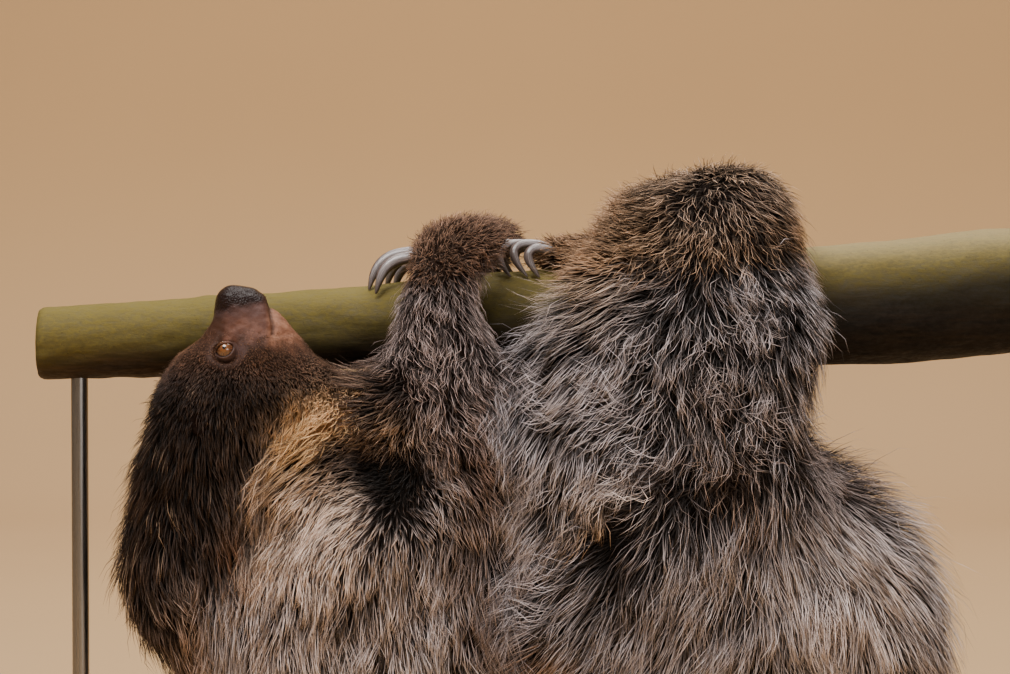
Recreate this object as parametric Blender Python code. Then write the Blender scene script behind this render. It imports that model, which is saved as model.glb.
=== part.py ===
"""Life-size still model of a Linnaeus's two-toed sloth hanging from a pole.

The animal hangs belly up below a cut pole, head at -X, its neck bent so that
the nose points up.  The pole rests on two rods that rise from a flat base.
Units are metres, +Z is up, and the origin is the centre of the base's foot.
"""

import math

import bmesh
import bpy
from mathutils import Vector

# ------------------------------------------------------------------ sizes
GAP = 0.0003                      # clearance between neighbouring pieces

BASE_LENGTH = 0.820
BASE_WIDTH = 0.340
BASE_HEIGHT = 0.020
BASE_EDGE = 0.003                 # bevel round the top and bottom of the base
SOCKET_DEPTH = 0.008              # how far a rod sits in the base

ROD_RADIUS = 0.0065
ROD_X = (-0.362, 0.372)           # left rod, right rod
ROD_INTO_POLE = 0.018             # how far a rod sits in the pole

# The pole: x, height of its axis, radius.
POLE = (
    (-0.392, 0.4797, 0.0280),
    (-0.300, 0.4846, 0.0290),
    (-0.168, 0.4916, 0.0312),
    (-0.035, 0.5000, 0.0350),
    (0.100, 0.5058, 0.0415),
    (0.231, 0.5105, 0.0470),
    (0.350, 0.5210, 0.0483),
    (0.396, 0.5245, 0.0483),
)
POLE_SIDES = 20

VOXEL = 0.0060                    # grain in which the body masses are fused
SMOOTHING = 5
BODY_TRIANGLES = 2900
WELD = 0.00005                    # corners closer than this are one
FLAT = math.radians(0.5)           # faces flatter than this against each other are one
RING = 24                         # points round each body section

# Trunk: x, centre z, half height, half width.
TRUNK = (
    (-0.292, 0.232, 0.036, 0.040),
    (-0.272, 0.243, 0.073, 0.068),
    (-0.232, 0.262, 0.109, 0.096),
    (-0.170, 0.281, 0.145, 0.117),
    (-0.100, 0.287, 0.153, 0.124),
    (-0.020, 0.286, 0.155, 0.127),
    (0.070, 0.286, 0.154, 0.131),
    (0.150, 0.283, 0.147, 0.132),
    (0.212, 0.280, 0.132, 0.124),
    (0.256, 0.270, 0.116, 0.106),
    (0.288, 0.256, 0.090, 0.081),
    (0.307, 0.245, 0.048, 0.046),
)

# Head and neck stand upright: z, centre x, centre y, half length, half width.
HEAD_Y = -0.066
HEAD_NECK = (
    (0.5240, -0.2307, HEAD_Y, 0.0075, 0.0070),
    (0.5215, -0.2307, HEAD_Y, 0.0118, 0.0105),
    (0.5172, -0.2314, HEAD_Y, 0.0150, 0.0132),
    (0.5120, -0.2308, HEAD_Y, 0.0178, 0.0150),
    (0.5060, -0.2281, HEAD_Y, 0.0228, 0.0168),
    (0.4990, -0.2240, HEAD_Y, 0.0284, 0.0188),
    (0.4914, -0.2225, HEAD_Y, 0.0337, 0.0218),
    (0.4839, -0.2247, HEAD_Y, 0.0412, 0.0268),
    (0.4765, -0.2288, HEAD_Y, 0.0505, 0.0322),
    (0.4690, -0.2285, -0.065, 0.0585, 0.0370),
    (0.4590, -0.2250, -0.063, 0.0700, 0.0425),
    (0.4455, -0.2280, -0.060, 0.0765, 0.0480),
    (0.4310, -0.2370, -0.056, 0.0735, 0.0515),
    (0.4135, -0.2450, -0.052, 0.0710, 0.0540),
    (0.3945, -0.2530, -0.048, 0.0690, 0.0560),
    (0.3720, -0.2620, -0.043, 0.0655, 0.0580),
    (0.3480, -0.2680, -0.038, 0.0655, 0.0610),
    (0.3130, -0.2720, -0.030, 0.0668, 0.0650),
    (0.2900, -0.2700, -0.023, 0.0670, 0.0680),
    (0.2700, -0.2640, -0.016, 0.0665, 0.0700),
    (0.2500, -0.2540, -0.008, 0.0670, 0.0700),
    (0.2300, -0.2440, 0.0000, 0.0600, 0.0620),
    (0.2120, -0.2360, 0.0000, 0.0400, 0.0420),
)
# Throat: a wedge of coat from the jaw back to the chest.
THROAT = (
    (0.4640, -0.1840, -0.058, 0.0150, 0.0230),
    (0.4560, -0.1820, -0.056, 0.0290, 0.0330),
    (0.4440, -0.1800, -0.052, 0.0400, 0.0430),
    (0.4280, -0.1800, -0.046, 0.0500, 0.0540),
    (0.4000, -0.1820, -0.038, 0.0600, 0.0640),
    (0.3600, -0.1900, -0.028, 0.0600, 0.0700),
)

# Forearm and hand stand upright: z, centre x, y, half length, half width.
FOREARM = (
    (0.3600, -0.0660, -0.0880, 0.0420, 0.0380),
    (0.3850, -0.0660, -0.0920, 0.0560, 0.0470),
    (0.4050, -0.0700, -0.0940, 0.0590, 0.0500),
    (0.4205, -0.0740, -0.0940, 0.0575, 0.0500),
    (0.4450, -0.0800, -0.0910, 0.0535, 0.0470),
    (0.4680, -0.0808, -0.0850, 0.0510, 0.0430),
    (0.4910, -0.0820, -0.0780, 0.0412, 0.0390),
    (0.5170, -0.0855, -0.0700, 0.0350, 0.0350),
    (0.5380, -0.0790, -0.0560, 0.0335, 0.0350),
    (0.5530, -0.0700, -0.0440, 0.0365, 0.0340),
    (0.5640, -0.0650, -0.0400, 0.0345, 0.0290),
    (0.5745, -0.0630, -0.0390, 0.0260, 0.0230),
    (0.5800, -0.0620, -0.0390, 0.0120, 0.0110),
)
# Limb runs: x, y, z, radius.
UPPER_ARM = (
    (-0.178, -0.0600, 0.290, 0.040),
    (-0.155, -0.0760, 0.302, 0.058),
    (-0.112, -0.0860, 0.340, 0.058),
    (-0.072, -0.0900, 0.382, 0.053),
    (-0.064, -0.0900, 0.404, 0.046),
)
PALM = (
    (-0.062, -0.0330, 0.5540, 0.0200),
    (-0.078, -0.0270, 0.5545, 0.0215),
    (-0.094, -0.0205, 0.5535, 0.0170),
    (-0.106, -0.0165, 0.5525, 0.0120),
)

# Shank, calf and heel stand upright: z, centre x, y, half length, half width.
SHANK = (
    (0.6200, 0.1405, -0.0400, 0.0160, 0.0140),
    (0.6140, 0.1340, -0.0410, 0.0340, 0.0280),
    (0.6040, 0.1225, -0.0430, 0.0530, 0.0400),
    (0.5858, 0.1216, -0.0490, 0.0660, 0.0470),
    (0.5577, 0.1153, -0.0590, 0.0790, 0.0520),
    (0.5340, 0.1040, -0.0700, 0.0940, 0.0540),
    (0.5090, 0.0990, -0.0780, 0.1090, 0.0550),
    (0.4830, 0.0911, -0.0820, 0.1210, 0.0570),
    (0.4463, 0.0833, -0.0840, 0.1150, 0.0610),
    (0.4020, 0.0763, -0.0840, 0.1210, 0.0650),
    (0.3650, 0.0780, -0.0830, 0.1290, 0.0660),
    (0.3210, 0.0800, -0.0810, 0.1320, 0.0650),
    (0.2700, 0.0900, -0.0760, 0.1250, 0.0560),
    (0.2350, 0.0950, -0.0720, 0.0950, 0.0400),
)
FOOT = (
    (0.110, -0.0300, 0.5620, 0.0240),
    (0.075, -0.0240, 0.5550, 0.0180),
    (0.045, -0.0190, 0.5495, 0.0140),
    (0.022, -0.0165, 0.5480, 0.0132),
    (0.004, -0.0155, 0.5490, 0.0150),
)
FAR_HAND_SHIFT = 0.012            # the far hand lies a little towards +X
FAR_FOOT_SHIFT = -0.010           # the far foot lies a little towards -X

# Claws: x, y, z, radius, from the root inside the fur to the tip.
HAND_CLAWS = (
    (
        (-0.0950, -0.0175, 0.5495, 0.0045),
        (-0.1075, -0.0180, 0.5470, 0.0052),
        (-0.1190, -0.0190, 0.5437, 0.0055),
        (-0.1265, -0.0212, 0.5375, 0.0048),
        (-0.1305, -0.0236, 0.5285, 0.0032),
        (-0.1330, -0.0250, 0.5185, 0.0010),
    ),
    (
        (-0.1000, -0.0062, 0.5515, 0.0043),
        (-0.1140, -0.0064, 0.5500, 0.0050),
        (-0.1250, -0.0075, 0.5460, 0.0050),
        (-0.1325, -0.0102, 0.5390, 0.0042),
        (-0.1365, -0.0130, 0.5300, 0.0029),
        (-0.1385, -0.0148, 0.5215, 0.0010),
    ),
)
FOOT_CLAWS = (
    (
        (0.0080, -0.0205, 0.5490, 0.0034),
        (-0.0040, -0.0208, 0.5535, 0.0040),
        (-0.0130, -0.0220, 0.5535, 0.0041),
        (-0.0172, -0.0242, 0.5480, 0.0041),
        (-0.0145, -0.0262, 0.5405, 0.0030),
        (-0.0078, -0.0266, 0.5310, 0.0009),
    ),
    (
        (0.0060, -0.0120, 0.5530, 0.0032),
        (-0.0100, -0.0122, 0.5572, 0.0036),
        (-0.0225, -0.0135, 0.5568, 0.0039),
        (-0.0280, -0.0167, 0.5510, 0.0039),
        (-0.0252, -0.0205, 0.5420, 0.0029),
        (-0.0170, -0.0238, 0.5318, 0.0009),
    ),
    (
        (0.0040, -0.0042, 0.5540, 0.0030),
        (-0.0180, -0.0044, 0.5578, 0.0034),
        (-0.0320, -0.0056, 0.5565, 0.0037),
        (-0.0388, -0.0092, 0.5500, 0.0036),
        (-0.0368, -0.0140, 0.5405, 0.0027),
        (-0.0300, -0.0190, 0.5318, 0.0009),
    ),
)
CLAW_SIDES = 7

EYE_RADIUS = 0.0080
EYE_X = -0.2421
EYE_Z = 0.4788
EYE_OFF = 0.0250                  # from the middle of the head to an eye
EAR_SIZE = (0.0085, 0.0060, 0.0115)
EAR_X = -0.2600
EAR_Z = 0.4255
EAR_Y = (-0.1025, -0.0085)        # right ear, left ear

# Borders between the named body parts, drawn in side view as (x, z).
NECK_ZONE = (
    (-0.450, 0.100), (-0.278, 0.100), (-0.264, 0.262), (-0.240, 0.335),
    (-0.215, 0.380), (-0.152, 0.437), (-0.130, 0.470), (-0.130, 0.700),
    (-0.450, 0.700),
)
HEAD_ZONE = (
    (-0.450, 0.316), (-0.100, 0.470), (-0.100, 0.800), (-0.450, 0.800),
)
NOSE_ZONE = (
    (-0.450, 0.5110), (-0.100, 0.5135), (-0.100, 0.800), (-0.450, 0.800),
)
LIMB_ZONE = (
    (-0.222, 0.240), (-0.108, 0.228), (0.100, 0.226), (0.232, 0.238),
    (0.272, 0.300), (0.262, 0.368), (0.222, 0.425), (0.222, 0.650),
    (-0.128, 0.650), (-0.128, 0.455), (-0.165, 0.415), (-0.215, 0.365),
    (-0.232, 0.300),
)
LEG_ZONE = (
    (-0.085, 0.100), (0.500, 0.100), (0.500, 0.800), (-0.019, 0.800),
    (-0.021, 0.530), (-0.036, 0.470), (-0.044, 0.300),
)
FOREARM_ZONE = (
    (-0.300, 0.470), (-0.064, 0.389), (0.050, 0.350), (0.050, 0.900),
    (-0.300, 0.900),
)
HAND_ZONE = (
    (-0.300, 0.520), (0.050, 0.550), (0.050, 0.900), (-0.300, 0.900),
)
SHANK_ZONE = (
    (-0.200, 0.228), (0.300, 0.472), (0.300, 0.900), (-0.200, 0.900),
)
FOOT_ZONE = (
    (-0.200, 0.508), (0.300, 0.578), (0.300, 0.900), (-0.200, 0.900),
)
# Inner border of the limbs, drawn end on as (distance from the middle, z).
LIMB_INNER = (
    (0.300, 0.050), (0.300, 0.700), (0.0006, 0.700), (0.0006, 0.459),
    (0.022, 0.459), (0.074, 0.402), (0.074, 0.050),
)

COLOURS = {
    "head": (0.050, 0.029, 0.017),
    "nose": (0.012, 0.010, 0.011),
    "neck": (0.030, 0.018, 0.011),
    "trunk": (0.250, 0.165, 0.100),
    "upper_arm": (0.300, 0.200, 0.130),
    "forearm": (0.150, 0.100, 0.068),
    "hand": (0.065, 0.038, 0.024),
    "thigh": (0.230, 0.165, 0.115),
    "shank": (0.200, 0.140, 0.096),
    "foot": (0.120, 0.058, 0.030),
    "ear": (0.080, 0.050, 0.034),
    "eye": (0.240, 0.090, 0.020),
    "claw": (0.250, 0.230, 0.250),
    "perch": (0.130, 0.150, 0.035),
    "stand": (0.030, 0.030, 0.032),
}
ROUGHNESS = {"eye": 0.08, "claw": 0.30, "nose": 0.30, "stand": 0.40}


# ------------------------------------------------------------- mesh helpers
def new_object(name, bm):
    """Turn a bmesh into an object of the scene."""
    bmesh.ops.recalc_face_normals(bm, faces=bm.faces)
    mesh = bpy.data.meshes.new(name)
    bm.to_mesh(mesh)
    bm.free()
    obj = bpy.data.objects.new(name, mesh)
    bpy.context.scene.collection.objects.link(obj)
    return obj


def remove(obj):
    """Take an object and its mesh out of the file."""
    mesh = obj.data
    bpy.data.objects.remove(obj, do_unlink=True)
    bpy.data.meshes.remove(mesh)


def copy_of(obj, name):
    """An independent copy of an object."""
    twin = bpy.data.objects.new(name, obj.data.copy())
    bpy.context.scene.collection.objects.link(twin)
    return twin


def settle(obj):
    """Bake the modifiers of an object into its mesh."""
    bpy.context.view_layer.update()
    graph = bpy.context.evaluated_depsgraph_get()
    made = bpy.data.meshes.new_from_object(obj.evaluated_get(graph))
    old = obj.data
    obj.modifiers.clear()
    obj.data = made
    bpy.data.meshes.remove(old)


def combine(obj, other, operation):
    """Boolean of two closed bodies with the exact solver."""
    step = obj.modifiers.new("combine", "BOOLEAN")
    step.operation = operation
    step.solver = "EXACT"
    step.object = other
    settle(obj)


def spline(rows, steps):
    """Catmull-Rom points through rows of numbers."""
    out = []
    last = len(rows) - 1
    for i in range(last):
        a = rows[max(i - 1, 0)]
        b = rows[i]
        c = rows[i + 1]
        d = rows[min(i + 2, last)]
        for s in range(steps):
            t = s / steps
            out.append(tuple(
                0.5 * (2 * q + (r - p) * t + (2 * p - 5 * q + 4 * r - w) * t * t
                       + (3 * q - p - 3 * r + w) * t * t * t)
                for p, q, r, w in zip(a, b, c, d)))
    out.append(tuple(rows[last]))
    return out


def loft(bm, rings):
    """Skin a row of point rings and close both ends."""
    made = [[bm.verts.new(p) for p in ring] for ring in rings]
    for low, high in zip(made, made[1:]):
        count = len(low)
        for i in range(count):
            j = (i + 1) % count
            bm.faces.new((low[i], low[j], high[j], high[i]))
    bm.faces.new(list(reversed(made[0])))
    bm.faces.new(made[-1])


def ellipse(centre, u, v, a, b, count):
    """Points of an ellipse with axes u and v."""
    points = []
    for i in range(count):
        t = 2 * math.pi * i / count
        points.append(centre + u * (a * math.cos(t)) + v * (b * math.sin(t)))
    return points


def add_upright(bm, rows, side=1.0, shift=0.0):
    """A mass with level sections; side -1 mirrors it across the middle."""
    x_axis = Vector((1, 0, 0))
    y_axis = Vector((0, 1, 0))
    rings = []
    for z, x, y, a, b in spline(rows, 3):
        centre = Vector((x + shift, y * side, z))
        rings.append(ellipse(centre, x_axis, y_axis, max(a, 0.002), max(b, 0.002), RING))
    loft(bm, rings)


def add_lengthwise(bm, rows):
    """A mass along X with sections square to X."""
    y_axis = Vector((0, 1, 0))
    z_axis = Vector((0, 0, 1))
    rings = []
    for x, z, high, wide in spline(rows, 3):
        rings.append(ellipse(Vector((x, 0, z)), y_axis, z_axis, wide, high, RING))
    loft(bm, rings)


def add_run(bm, rows, steps, count, side=1.0, shift=0.0):
    """A round limb or claw along a curved line."""
    line = spline(rows, steps)
    points = [Vector((x + shift, y * side, z)) for x, y, z, r in line]
    radii = [row[3] for row in line]
    hint = Vector((0.0, 1.0, 0.12))
    rings = []
    last = len(points) - 1
    for i, point in enumerate(points):
        along = points[min(i + 1, last)] - points[max(i - 1, 0)]
        along.normalize()
        u = (hint - along * hint.dot(along)).normalized()
        v = along.cross(u)
        rings.append(ellipse(point, u, v, radii[i], radii[i], count))
    loft(bm, rings)


def prism(polygon, axis, low, high):
    """A closed prism: a flat outline swept along X or Y."""
    bm = bmesh.new()
    ends = []
    for level in (low, high):
        if axis == "Y":
            ends.append([bm.verts.new((u, level, v)) for u, v in polygon])
        else:
            ends.append([bm.verts.new((level, u, v)) for u, v in polygon])
    count = len(polygon)
    for i in range(count):
        j = (i + 1) % count
        bm.faces.new((ends[0][i], ends[0][j], ends[1][j], ends[1][i]))
    bm.faces.new(list(reversed(ends[0])))
    bm.faces.new(ends[1])
    bmesh.ops.triangulate(bm, faces=[f for f in bm.faces if len(f.verts) > 4])
    return new_object("zone", bm)


def grown(polygon, by):
    """The outline moved outwards by a distance, corners kept sharp."""
    count = len(polygon)
    area = 0.0
    for i in range(count):
        (x0, y0), (x1, y1) = polygon[i], polygon[(i + 1) % count]
        area += x0 * y1 - x1 * y0
    sign = 1.0 if area > 0 else -1.0
    out = []
    for i in range(count):
        before = Vector(polygon[i - 1])
        here = Vector(polygon[i])
        after = Vector(polygon[(i + 1) % count])
        e0 = (here - before).normalized()
        e1 = (after - here).normalized()
        n0 = Vector((e0.y, -e0.x)) * sign
        n1 = Vector((e1.y, -e1.x)) * sign
        out.append(tuple(here + (n0 + n1) * (by / (1.0 + n0.dot(n1)))))
    return out


def zone(outline, by, side=0.0):
    """Region of space inside a side-view outline; side +-1 keeps one limb."""
    region = prism(grown(outline, by), "Y", -0.4, 0.4)
    if side:
        ends = [(y * side, z) for y, z in grown(LIMB_INNER, by - GAP / 2)]
        other = prism(ends, "X", -0.6, 0.6)
        combine(region, other, "INTERSECT")
        remove(other)
    return region


def split_off(body, name, outline, side=0.0):
    """Part a named piece from a body, leaving the gap between the two."""
    piece = copy_of(body, name)
    inner = zone(outline, 0.0, side)
    combine(piece, inner, "INTERSECT")
    remove(inner)
    outer = zone(outline, GAP, side)
    combine(body, outer, "DIFFERENCE")
    remove(outer)
    return piece


def islands(bm):
    """The separate shells of a mesh, as groups of its vertices."""
    left = set(bm.verts)
    groups = []
    while left:
        seed = left.pop()
        group = {seed}
        stack = [seed]
        while stack:
            vert = stack.pop()
            for edge in vert.link_edges:
                other = edge.other_vert(vert)
                if other in left:
                    left.discard(other)
                    group.add(other)
                    stack.append(other)
        groups.append(group)
    return sorted(groups, key=len, reverse=True)


def simplified(source, weld, flat):
    """A copy with short edges welded and flat areas joined, or None if torn."""
    bm = source.copy()
    if weld:
        bmesh.ops.remove_doubles(bm, verts=bm.verts, dist=weld)
    bmesh.ops.dissolve_limit(bm, angle_limit=flat, verts=bm.verts, edges=bm.edges)
    bmesh.ops.triangulate(bm, faces=bm.faces)
    if all(edge.is_manifold for edge in bm.edges):
        return bm
    bm.free()
    return None


def finish_solid(obj):
    """Keep the main solid of a cut piece and join its flat faces."""
    bm = bmesh.new()
    bm.from_mesh(obj.data)
    for group in islands(bm)[1:]:
        bmesh.ops.delete(bm, geom=list(group), context="VERTS")
    made = simplified(bm, WELD, FLAT) or simplified(bm, 0.0, FLAT) or simplified(bm, 0.0, 0.0)
    made = made or bm.copy()
    bm.free()
    bmesh.ops.recalc_face_normals(made, faces=made.faces)
    made.to_mesh(obj.data)
    made.free()


def paint(obj, kind):
    """Give an object its own plain material."""
    mat = bpy.data.materials.new(obj.name)
    mat.use_nodes = True
    shader = mat.node_tree.nodes["Principled BSDF"]
    shader.inputs["Base Color"].default_value = (*COLOURS[kind], 1.0)
    shader.inputs["Roughness"].default_value = ROUGHNESS.get(kind, 0.85)
    obj.data.materials.clear()
    obj.data.materials.append(mat)


# -------------------------------------------------------------------- pieces
def ellipsoid(name, centre, sizes, rings, count):
    """A closed ellipsoid."""
    bm = bmesh.new()
    bmesh.ops.create_uvsphere(bm, u_segments=count, v_segments=rings, radius=1.0)
    for vert in bm.verts:
        vert.co = Vector(centre) + Vector(
            (vert.co.x * sizes[0], vert.co.y * sizes[1], vert.co.z * sizes[2]))
    return new_object(name, bm)


def claw(name, rows, side, shift, extra=0.0):
    """One curved claw, or its clearance when extra is given."""
    bm = bmesh.new()
    wider = [(x, y, z, r + extra) for x, y, z, r in rows]
    add_run(bm, wider, 2, CLAW_SIDES, side, shift)
    return new_object(name, bm)


def pole(name, extra=0.0):
    """The pole, or its clearance when extra is given."""
    bm = bmesh.new()
    y_axis = Vector((0, 1, 0))
    z_axis = Vector((0, 0, 1))
    rings = []
    for x, z, radius in spline(POLE, 2):
        r = radius + extra
        rings.append(ellipse(Vector((x, 0, z)), y_axis, z_axis, r, r, POLE_SIDES))
    loft(bm, rings)
    return new_object(name, bm)


def pole_axis(x):
    """Height of the pole's axis and its radius at x."""
    rows = spline(POLE, 2)
    for a, b in zip(rows, rows[1:]):
        if a[0] <= x <= b[0]:
            t = (x - a[0]) / (b[0] - a[0])
            return a[1] + (b[1] - a[1]) * t, a[2] + (b[2] - a[2]) * t
    return rows[-1][1], rows[-1][2]


def rod(name, x, extra=0.0):
    """An upright rod from the base into the pole, or its clearance."""
    height, radius = pole_axis(x)
    top = height - radius + ROD_INTO_POLE + extra
    bottom = BASE_HEIGHT - SOCKET_DEPTH - extra
    bm = bmesh.new()
    u = Vector((1, 0, 0))
    v = Vector((0, 1, 0))
    rings = []
    for z in (bottom, top):
        r = ROD_RADIUS + extra
        rings.append(ellipse(Vector((x, 0, z)), u, v, r, r, 16))
    loft(bm, rings)
    return new_object(name, bm)


def base_plate():
    """The flat base with bevelled edges."""
    bm = bmesh.new()
    bmesh.ops.create_cube(bm, size=1.0)
    for vert in bm.verts:
        vert.co.x *= BASE_LENGTH
        vert.co.y *= BASE_WIDTH
        vert.co.z = (vert.co.z + 0.5) * BASE_HEIGHT
    upright = [e for e in bm.edges if abs(e.verts[0].co.z - e.verts[1].co.z) > 0.001]
    bmesh.ops.bevel(bm, geom=upright, offset=0.02, segments=3, profile=0.5, affect="EDGES")
    level = [e for e in bm.edges
             if e.verts[0].co.z > BASE_HEIGHT - 1e-5 and e.verts[1].co.z > BASE_HEIGHT - 1e-5]
    bmesh.ops.bevel(bm, geom=level, offset=BASE_EDGE, segments=1, profile=0.5, affect="EDGES")
    return new_object("stand_base", bm)


def body_mass():
    """Every furred mass of the animal fused into one closed body."""
    bm = bmesh.new()
    add_lengthwise(bm, TRUNK)
    add_upright(bm, HEAD_NECK)
    add_upright(bm, THROAT)
    for side in (1.0, -1.0):
        near = side > 0
        hand = 0.0 if near else FAR_HAND_SHIFT
        foot = 0.0 if near else FAR_FOOT_SHIFT
        add_upright(bm, FOREARM, side, hand)
        add_run(bm, UPPER_ARM, 3, RING, side, hand)
        add_run(bm, PALM, 3, RING, side, hand)
        add_upright(bm, SHANK, side)
        add_run(bm, FOOT, 3, RING, side, foot)
    body = new_object("body", bm)
    fuse = body.modifiers.new("fuse", "REMESH")
    fuse.mode = "VOXEL"
    fuse.voxel_size = VOXEL
    fuse.use_smooth_shade = False
    soften = body.modifiers.new("soften", "SMOOTH")
    soften.factor = 0.5
    soften.iterations = SMOOTHING
    settle(body)
    thin = body.modifiers.new("thin", "DECIMATE")
    faces = sum(len(p.vertices) - 2 for p in body.data.polygons)
    thin.ratio = BODY_TRIANGLES / faces
    thin.use_collapse_triangulate = True
    settle(body)
    return body


def build():
    """Make every named piece."""
    body = body_mass()
    around = pole("around", GAP)
    combine(body, around, "DIFFERENCE")
    remove(around)

    made = {}
    for word, side in (("right", -1.0), ("left", 1.0)):
        arm = split_off(body, "upper_arm_" + word, LIMB_ZONE, side)
        leg = split_off(arm, "thigh_" + word, LEG_ZONE)
        fore = split_off(arm, "forearm_" + word, FOREARM_ZONE)
        hand = split_off(fore, "hand_" + word, HAND_ZONE)
        shank = split_off(leg, "shank_" + word, SHANK_ZONE)
        foot = split_off(shank, "foot_" + word, FOOT_ZONE)
        made["upper_arm_" + word] = (arm, "upper_arm")
        made["forearm_" + word] = (fore, "forearm")
        made["hand_" + word] = (hand, "hand")
        made["thigh_" + word] = (leg, "thigh")
        made["shank_" + word] = (shank, "shank")
        made["foot_" + word] = (foot, "foot")
    neck = split_off(body, "neck", NECK_ZONE)
    head = split_off(neck, "head", HEAD_ZONE)
    nose = split_off(head, "nose", NOSE_ZONE)
    body.name = "trunk"
    made["trunk"] = (body, "trunk")
    made["neck"] = (neck, "neck")
    made["head"] = (head, "head")
    made["nose"] = (nose, "nose")

    for word, step, ear_y in (("right", -1.0, EAR_Y[0]), ("left", 1.0, EAR_Y[1])):
        centre = (EYE_X, HEAD_Y + step * EYE_OFF, EYE_Z)
        eye = ellipsoid("eye_" + word, centre, (EYE_RADIUS,) * 3, 8, 12)
        socket = ellipsoid("socket", centre, (EYE_RADIUS + GAP,) * 3, 8, 12)
        combine(head, socket, "DIFFERENCE")
        remove(socket)
        made[eye.name] = (eye, "eye")
        place = (EAR_X, ear_y, EAR_Z)
        ear = ellipsoid("ear_" + word, place, EAR_SIZE, 6, 10)
        wider = tuple(s + GAP for s in EAR_SIZE)
        socket = ellipsoid("socket", place, wider, 6, 10)
        combine(head, socket, "DIFFERENCE")
        remove(socket)
        made[ear.name] = (ear, "ear")

    for word, side in (("right", 1.0), ("left", -1.0)):
        hand_shift = 0.0 if side > 0 else FAR_HAND_SHIFT
        foot_shift = 0.0 if side > 0 else FAR_FOOT_SHIFT
        sets = (
            ("hand", HAND_CLAWS, hand_shift),
            ("foot", FOOT_CLAWS, foot_shift),
        )
        for limb, claws, shift in sets:
            for number, rows in enumerate(claws, start=1):
                name = "claw_" + limb + "_" + word + "_" + str(number)
                piece = claw(name, rows, side, shift)
                hollow = claw("hollow", rows, side, shift, GAP)
                for holder in ("hand_", "forearm_", "foot_"):
                    combine(made[holder + word][0], hollow, "DIFFERENCE")
                remove(hollow)
                around = pole("around", GAP)
                combine(piece, around, "DIFFERENCE")
                remove(around)
                made[name] = (piece, "claw")

    perch = pole("perch")
    made["perch"] = (perch, "perch")
    base = base_plate()
    made["stand_base"] = (base, "stand")
    for word, x in (("left", ROD_X[0]), ("right", ROD_X[1])):
        name = "stand_rod_" + word
        bar = rod(name, x)
        hollow = rod("hollow", x, GAP)
        combine(perch, hollow, "DIFFERENCE")
        combine(base, hollow, "DIFFERENCE")
        remove(hollow)
        made[name] = (bar, "stand")

    for name, (obj, kind) in made.items():
        obj.name = name
        obj.data.name = name
        finish_solid(obj)
        paint(obj, kind)


for old in list(bpy.data.objects):
    bpy.data.objects.remove(old, do_unlink=True)
build()
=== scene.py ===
"""Looks of a life-size two-toed sloth that hangs belly up below a cut pole.

Laid out as an add-on and run as a script: one operator makes each group of
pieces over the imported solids, and one makes the stage.  Metres, +Z up.
"""
import math

import bmesh
import bpy
import numpy as np
from bpy.props import FloatProperty, FloatVectorProperty, IntProperty, PointerProperty
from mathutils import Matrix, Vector
from mathutils.bvhtree import BVHTree
from mathutils.kdtree import KDTree


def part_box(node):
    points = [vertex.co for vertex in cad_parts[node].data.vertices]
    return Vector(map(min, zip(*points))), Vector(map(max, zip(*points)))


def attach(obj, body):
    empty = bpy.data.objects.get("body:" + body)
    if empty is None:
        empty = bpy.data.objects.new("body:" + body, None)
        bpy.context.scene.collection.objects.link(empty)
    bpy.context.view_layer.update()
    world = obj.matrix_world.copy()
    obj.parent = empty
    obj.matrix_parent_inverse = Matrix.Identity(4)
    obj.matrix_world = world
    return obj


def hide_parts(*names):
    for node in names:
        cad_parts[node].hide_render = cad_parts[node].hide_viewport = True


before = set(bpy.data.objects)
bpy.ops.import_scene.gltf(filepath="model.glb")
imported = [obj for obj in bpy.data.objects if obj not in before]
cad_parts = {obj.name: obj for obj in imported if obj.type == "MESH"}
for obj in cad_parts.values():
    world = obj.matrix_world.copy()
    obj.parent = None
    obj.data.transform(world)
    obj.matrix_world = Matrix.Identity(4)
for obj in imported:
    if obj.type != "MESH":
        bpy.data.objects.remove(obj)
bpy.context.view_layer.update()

bl_info = {
    "name": "Hanging sloth",
    "version": (1, 0, 0),
    "blender": (4, 5, 0),
    "location": "View3D > Sidebar > Sloth",
    "description": "Skin, coat, face, claws, pole, stand and stage of a life-size sloth",
    "category": "Object",
}

TAU = 2.0 * math.pi
FLESH = (
    "trunk", "neck", "head", "nose",
    "upper_arm_right", "upper_arm_left", "forearm_right", "forearm_left",
    "hand_right", "hand_left", "thigh_right", "thigh_left",
    "shank_right", "shank_left", "foot_right", "foot_left",
)
# Filled in while the skin is made, so that it closes over their sockets.
PLUGS = ("ear_right", "ear_left")

# How each body part is dressed.  Depth and length of the coat and width of a
# lock in millimetres; locks per square centimetre; markings dark, blond, rufous
# and pale, each 0 to 1.
DRESS = {
    "trunk": (20, 62, 0.84, 14.0, (0.0, 0.03, 0.0, 0.42)),
    "neck": (20, 44, 1.05, 13.0, (0.0, 0.0, 0.0, 0.20)),
    "head": (14, 22, 0.90, 24.0, (0.9, 0.0, 0.15, 0.0)),
    "nose": (0, 0, 1.0, 0.0, (1.0, 0.0, 0.0, 0.0)),
    "upper_arm": (18, 46, 1.00, 15.5, (0.0, 0.10, 0.13, 0.37)),
    "forearm": (12, 30, 0.74, 24.5, (0.03, 0.02, 0.33, 0.47)),
    "hand": (6, 16, 0.58, 46.0, (0.06, 0.22, 0.62, 0.0)),
    "thigh": (19, 60, 0.86, 16.0, (0.0, 0.0, 0.0, 0.43)),
    "shank": (16, 46, 0.80, 17.0, (0.0, 0.0, 0.0, 0.49)),
    "foot": (10, 32, 0.78, 22.0, (0.0, 0.60, 0.34, 0.06)),
}

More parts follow.
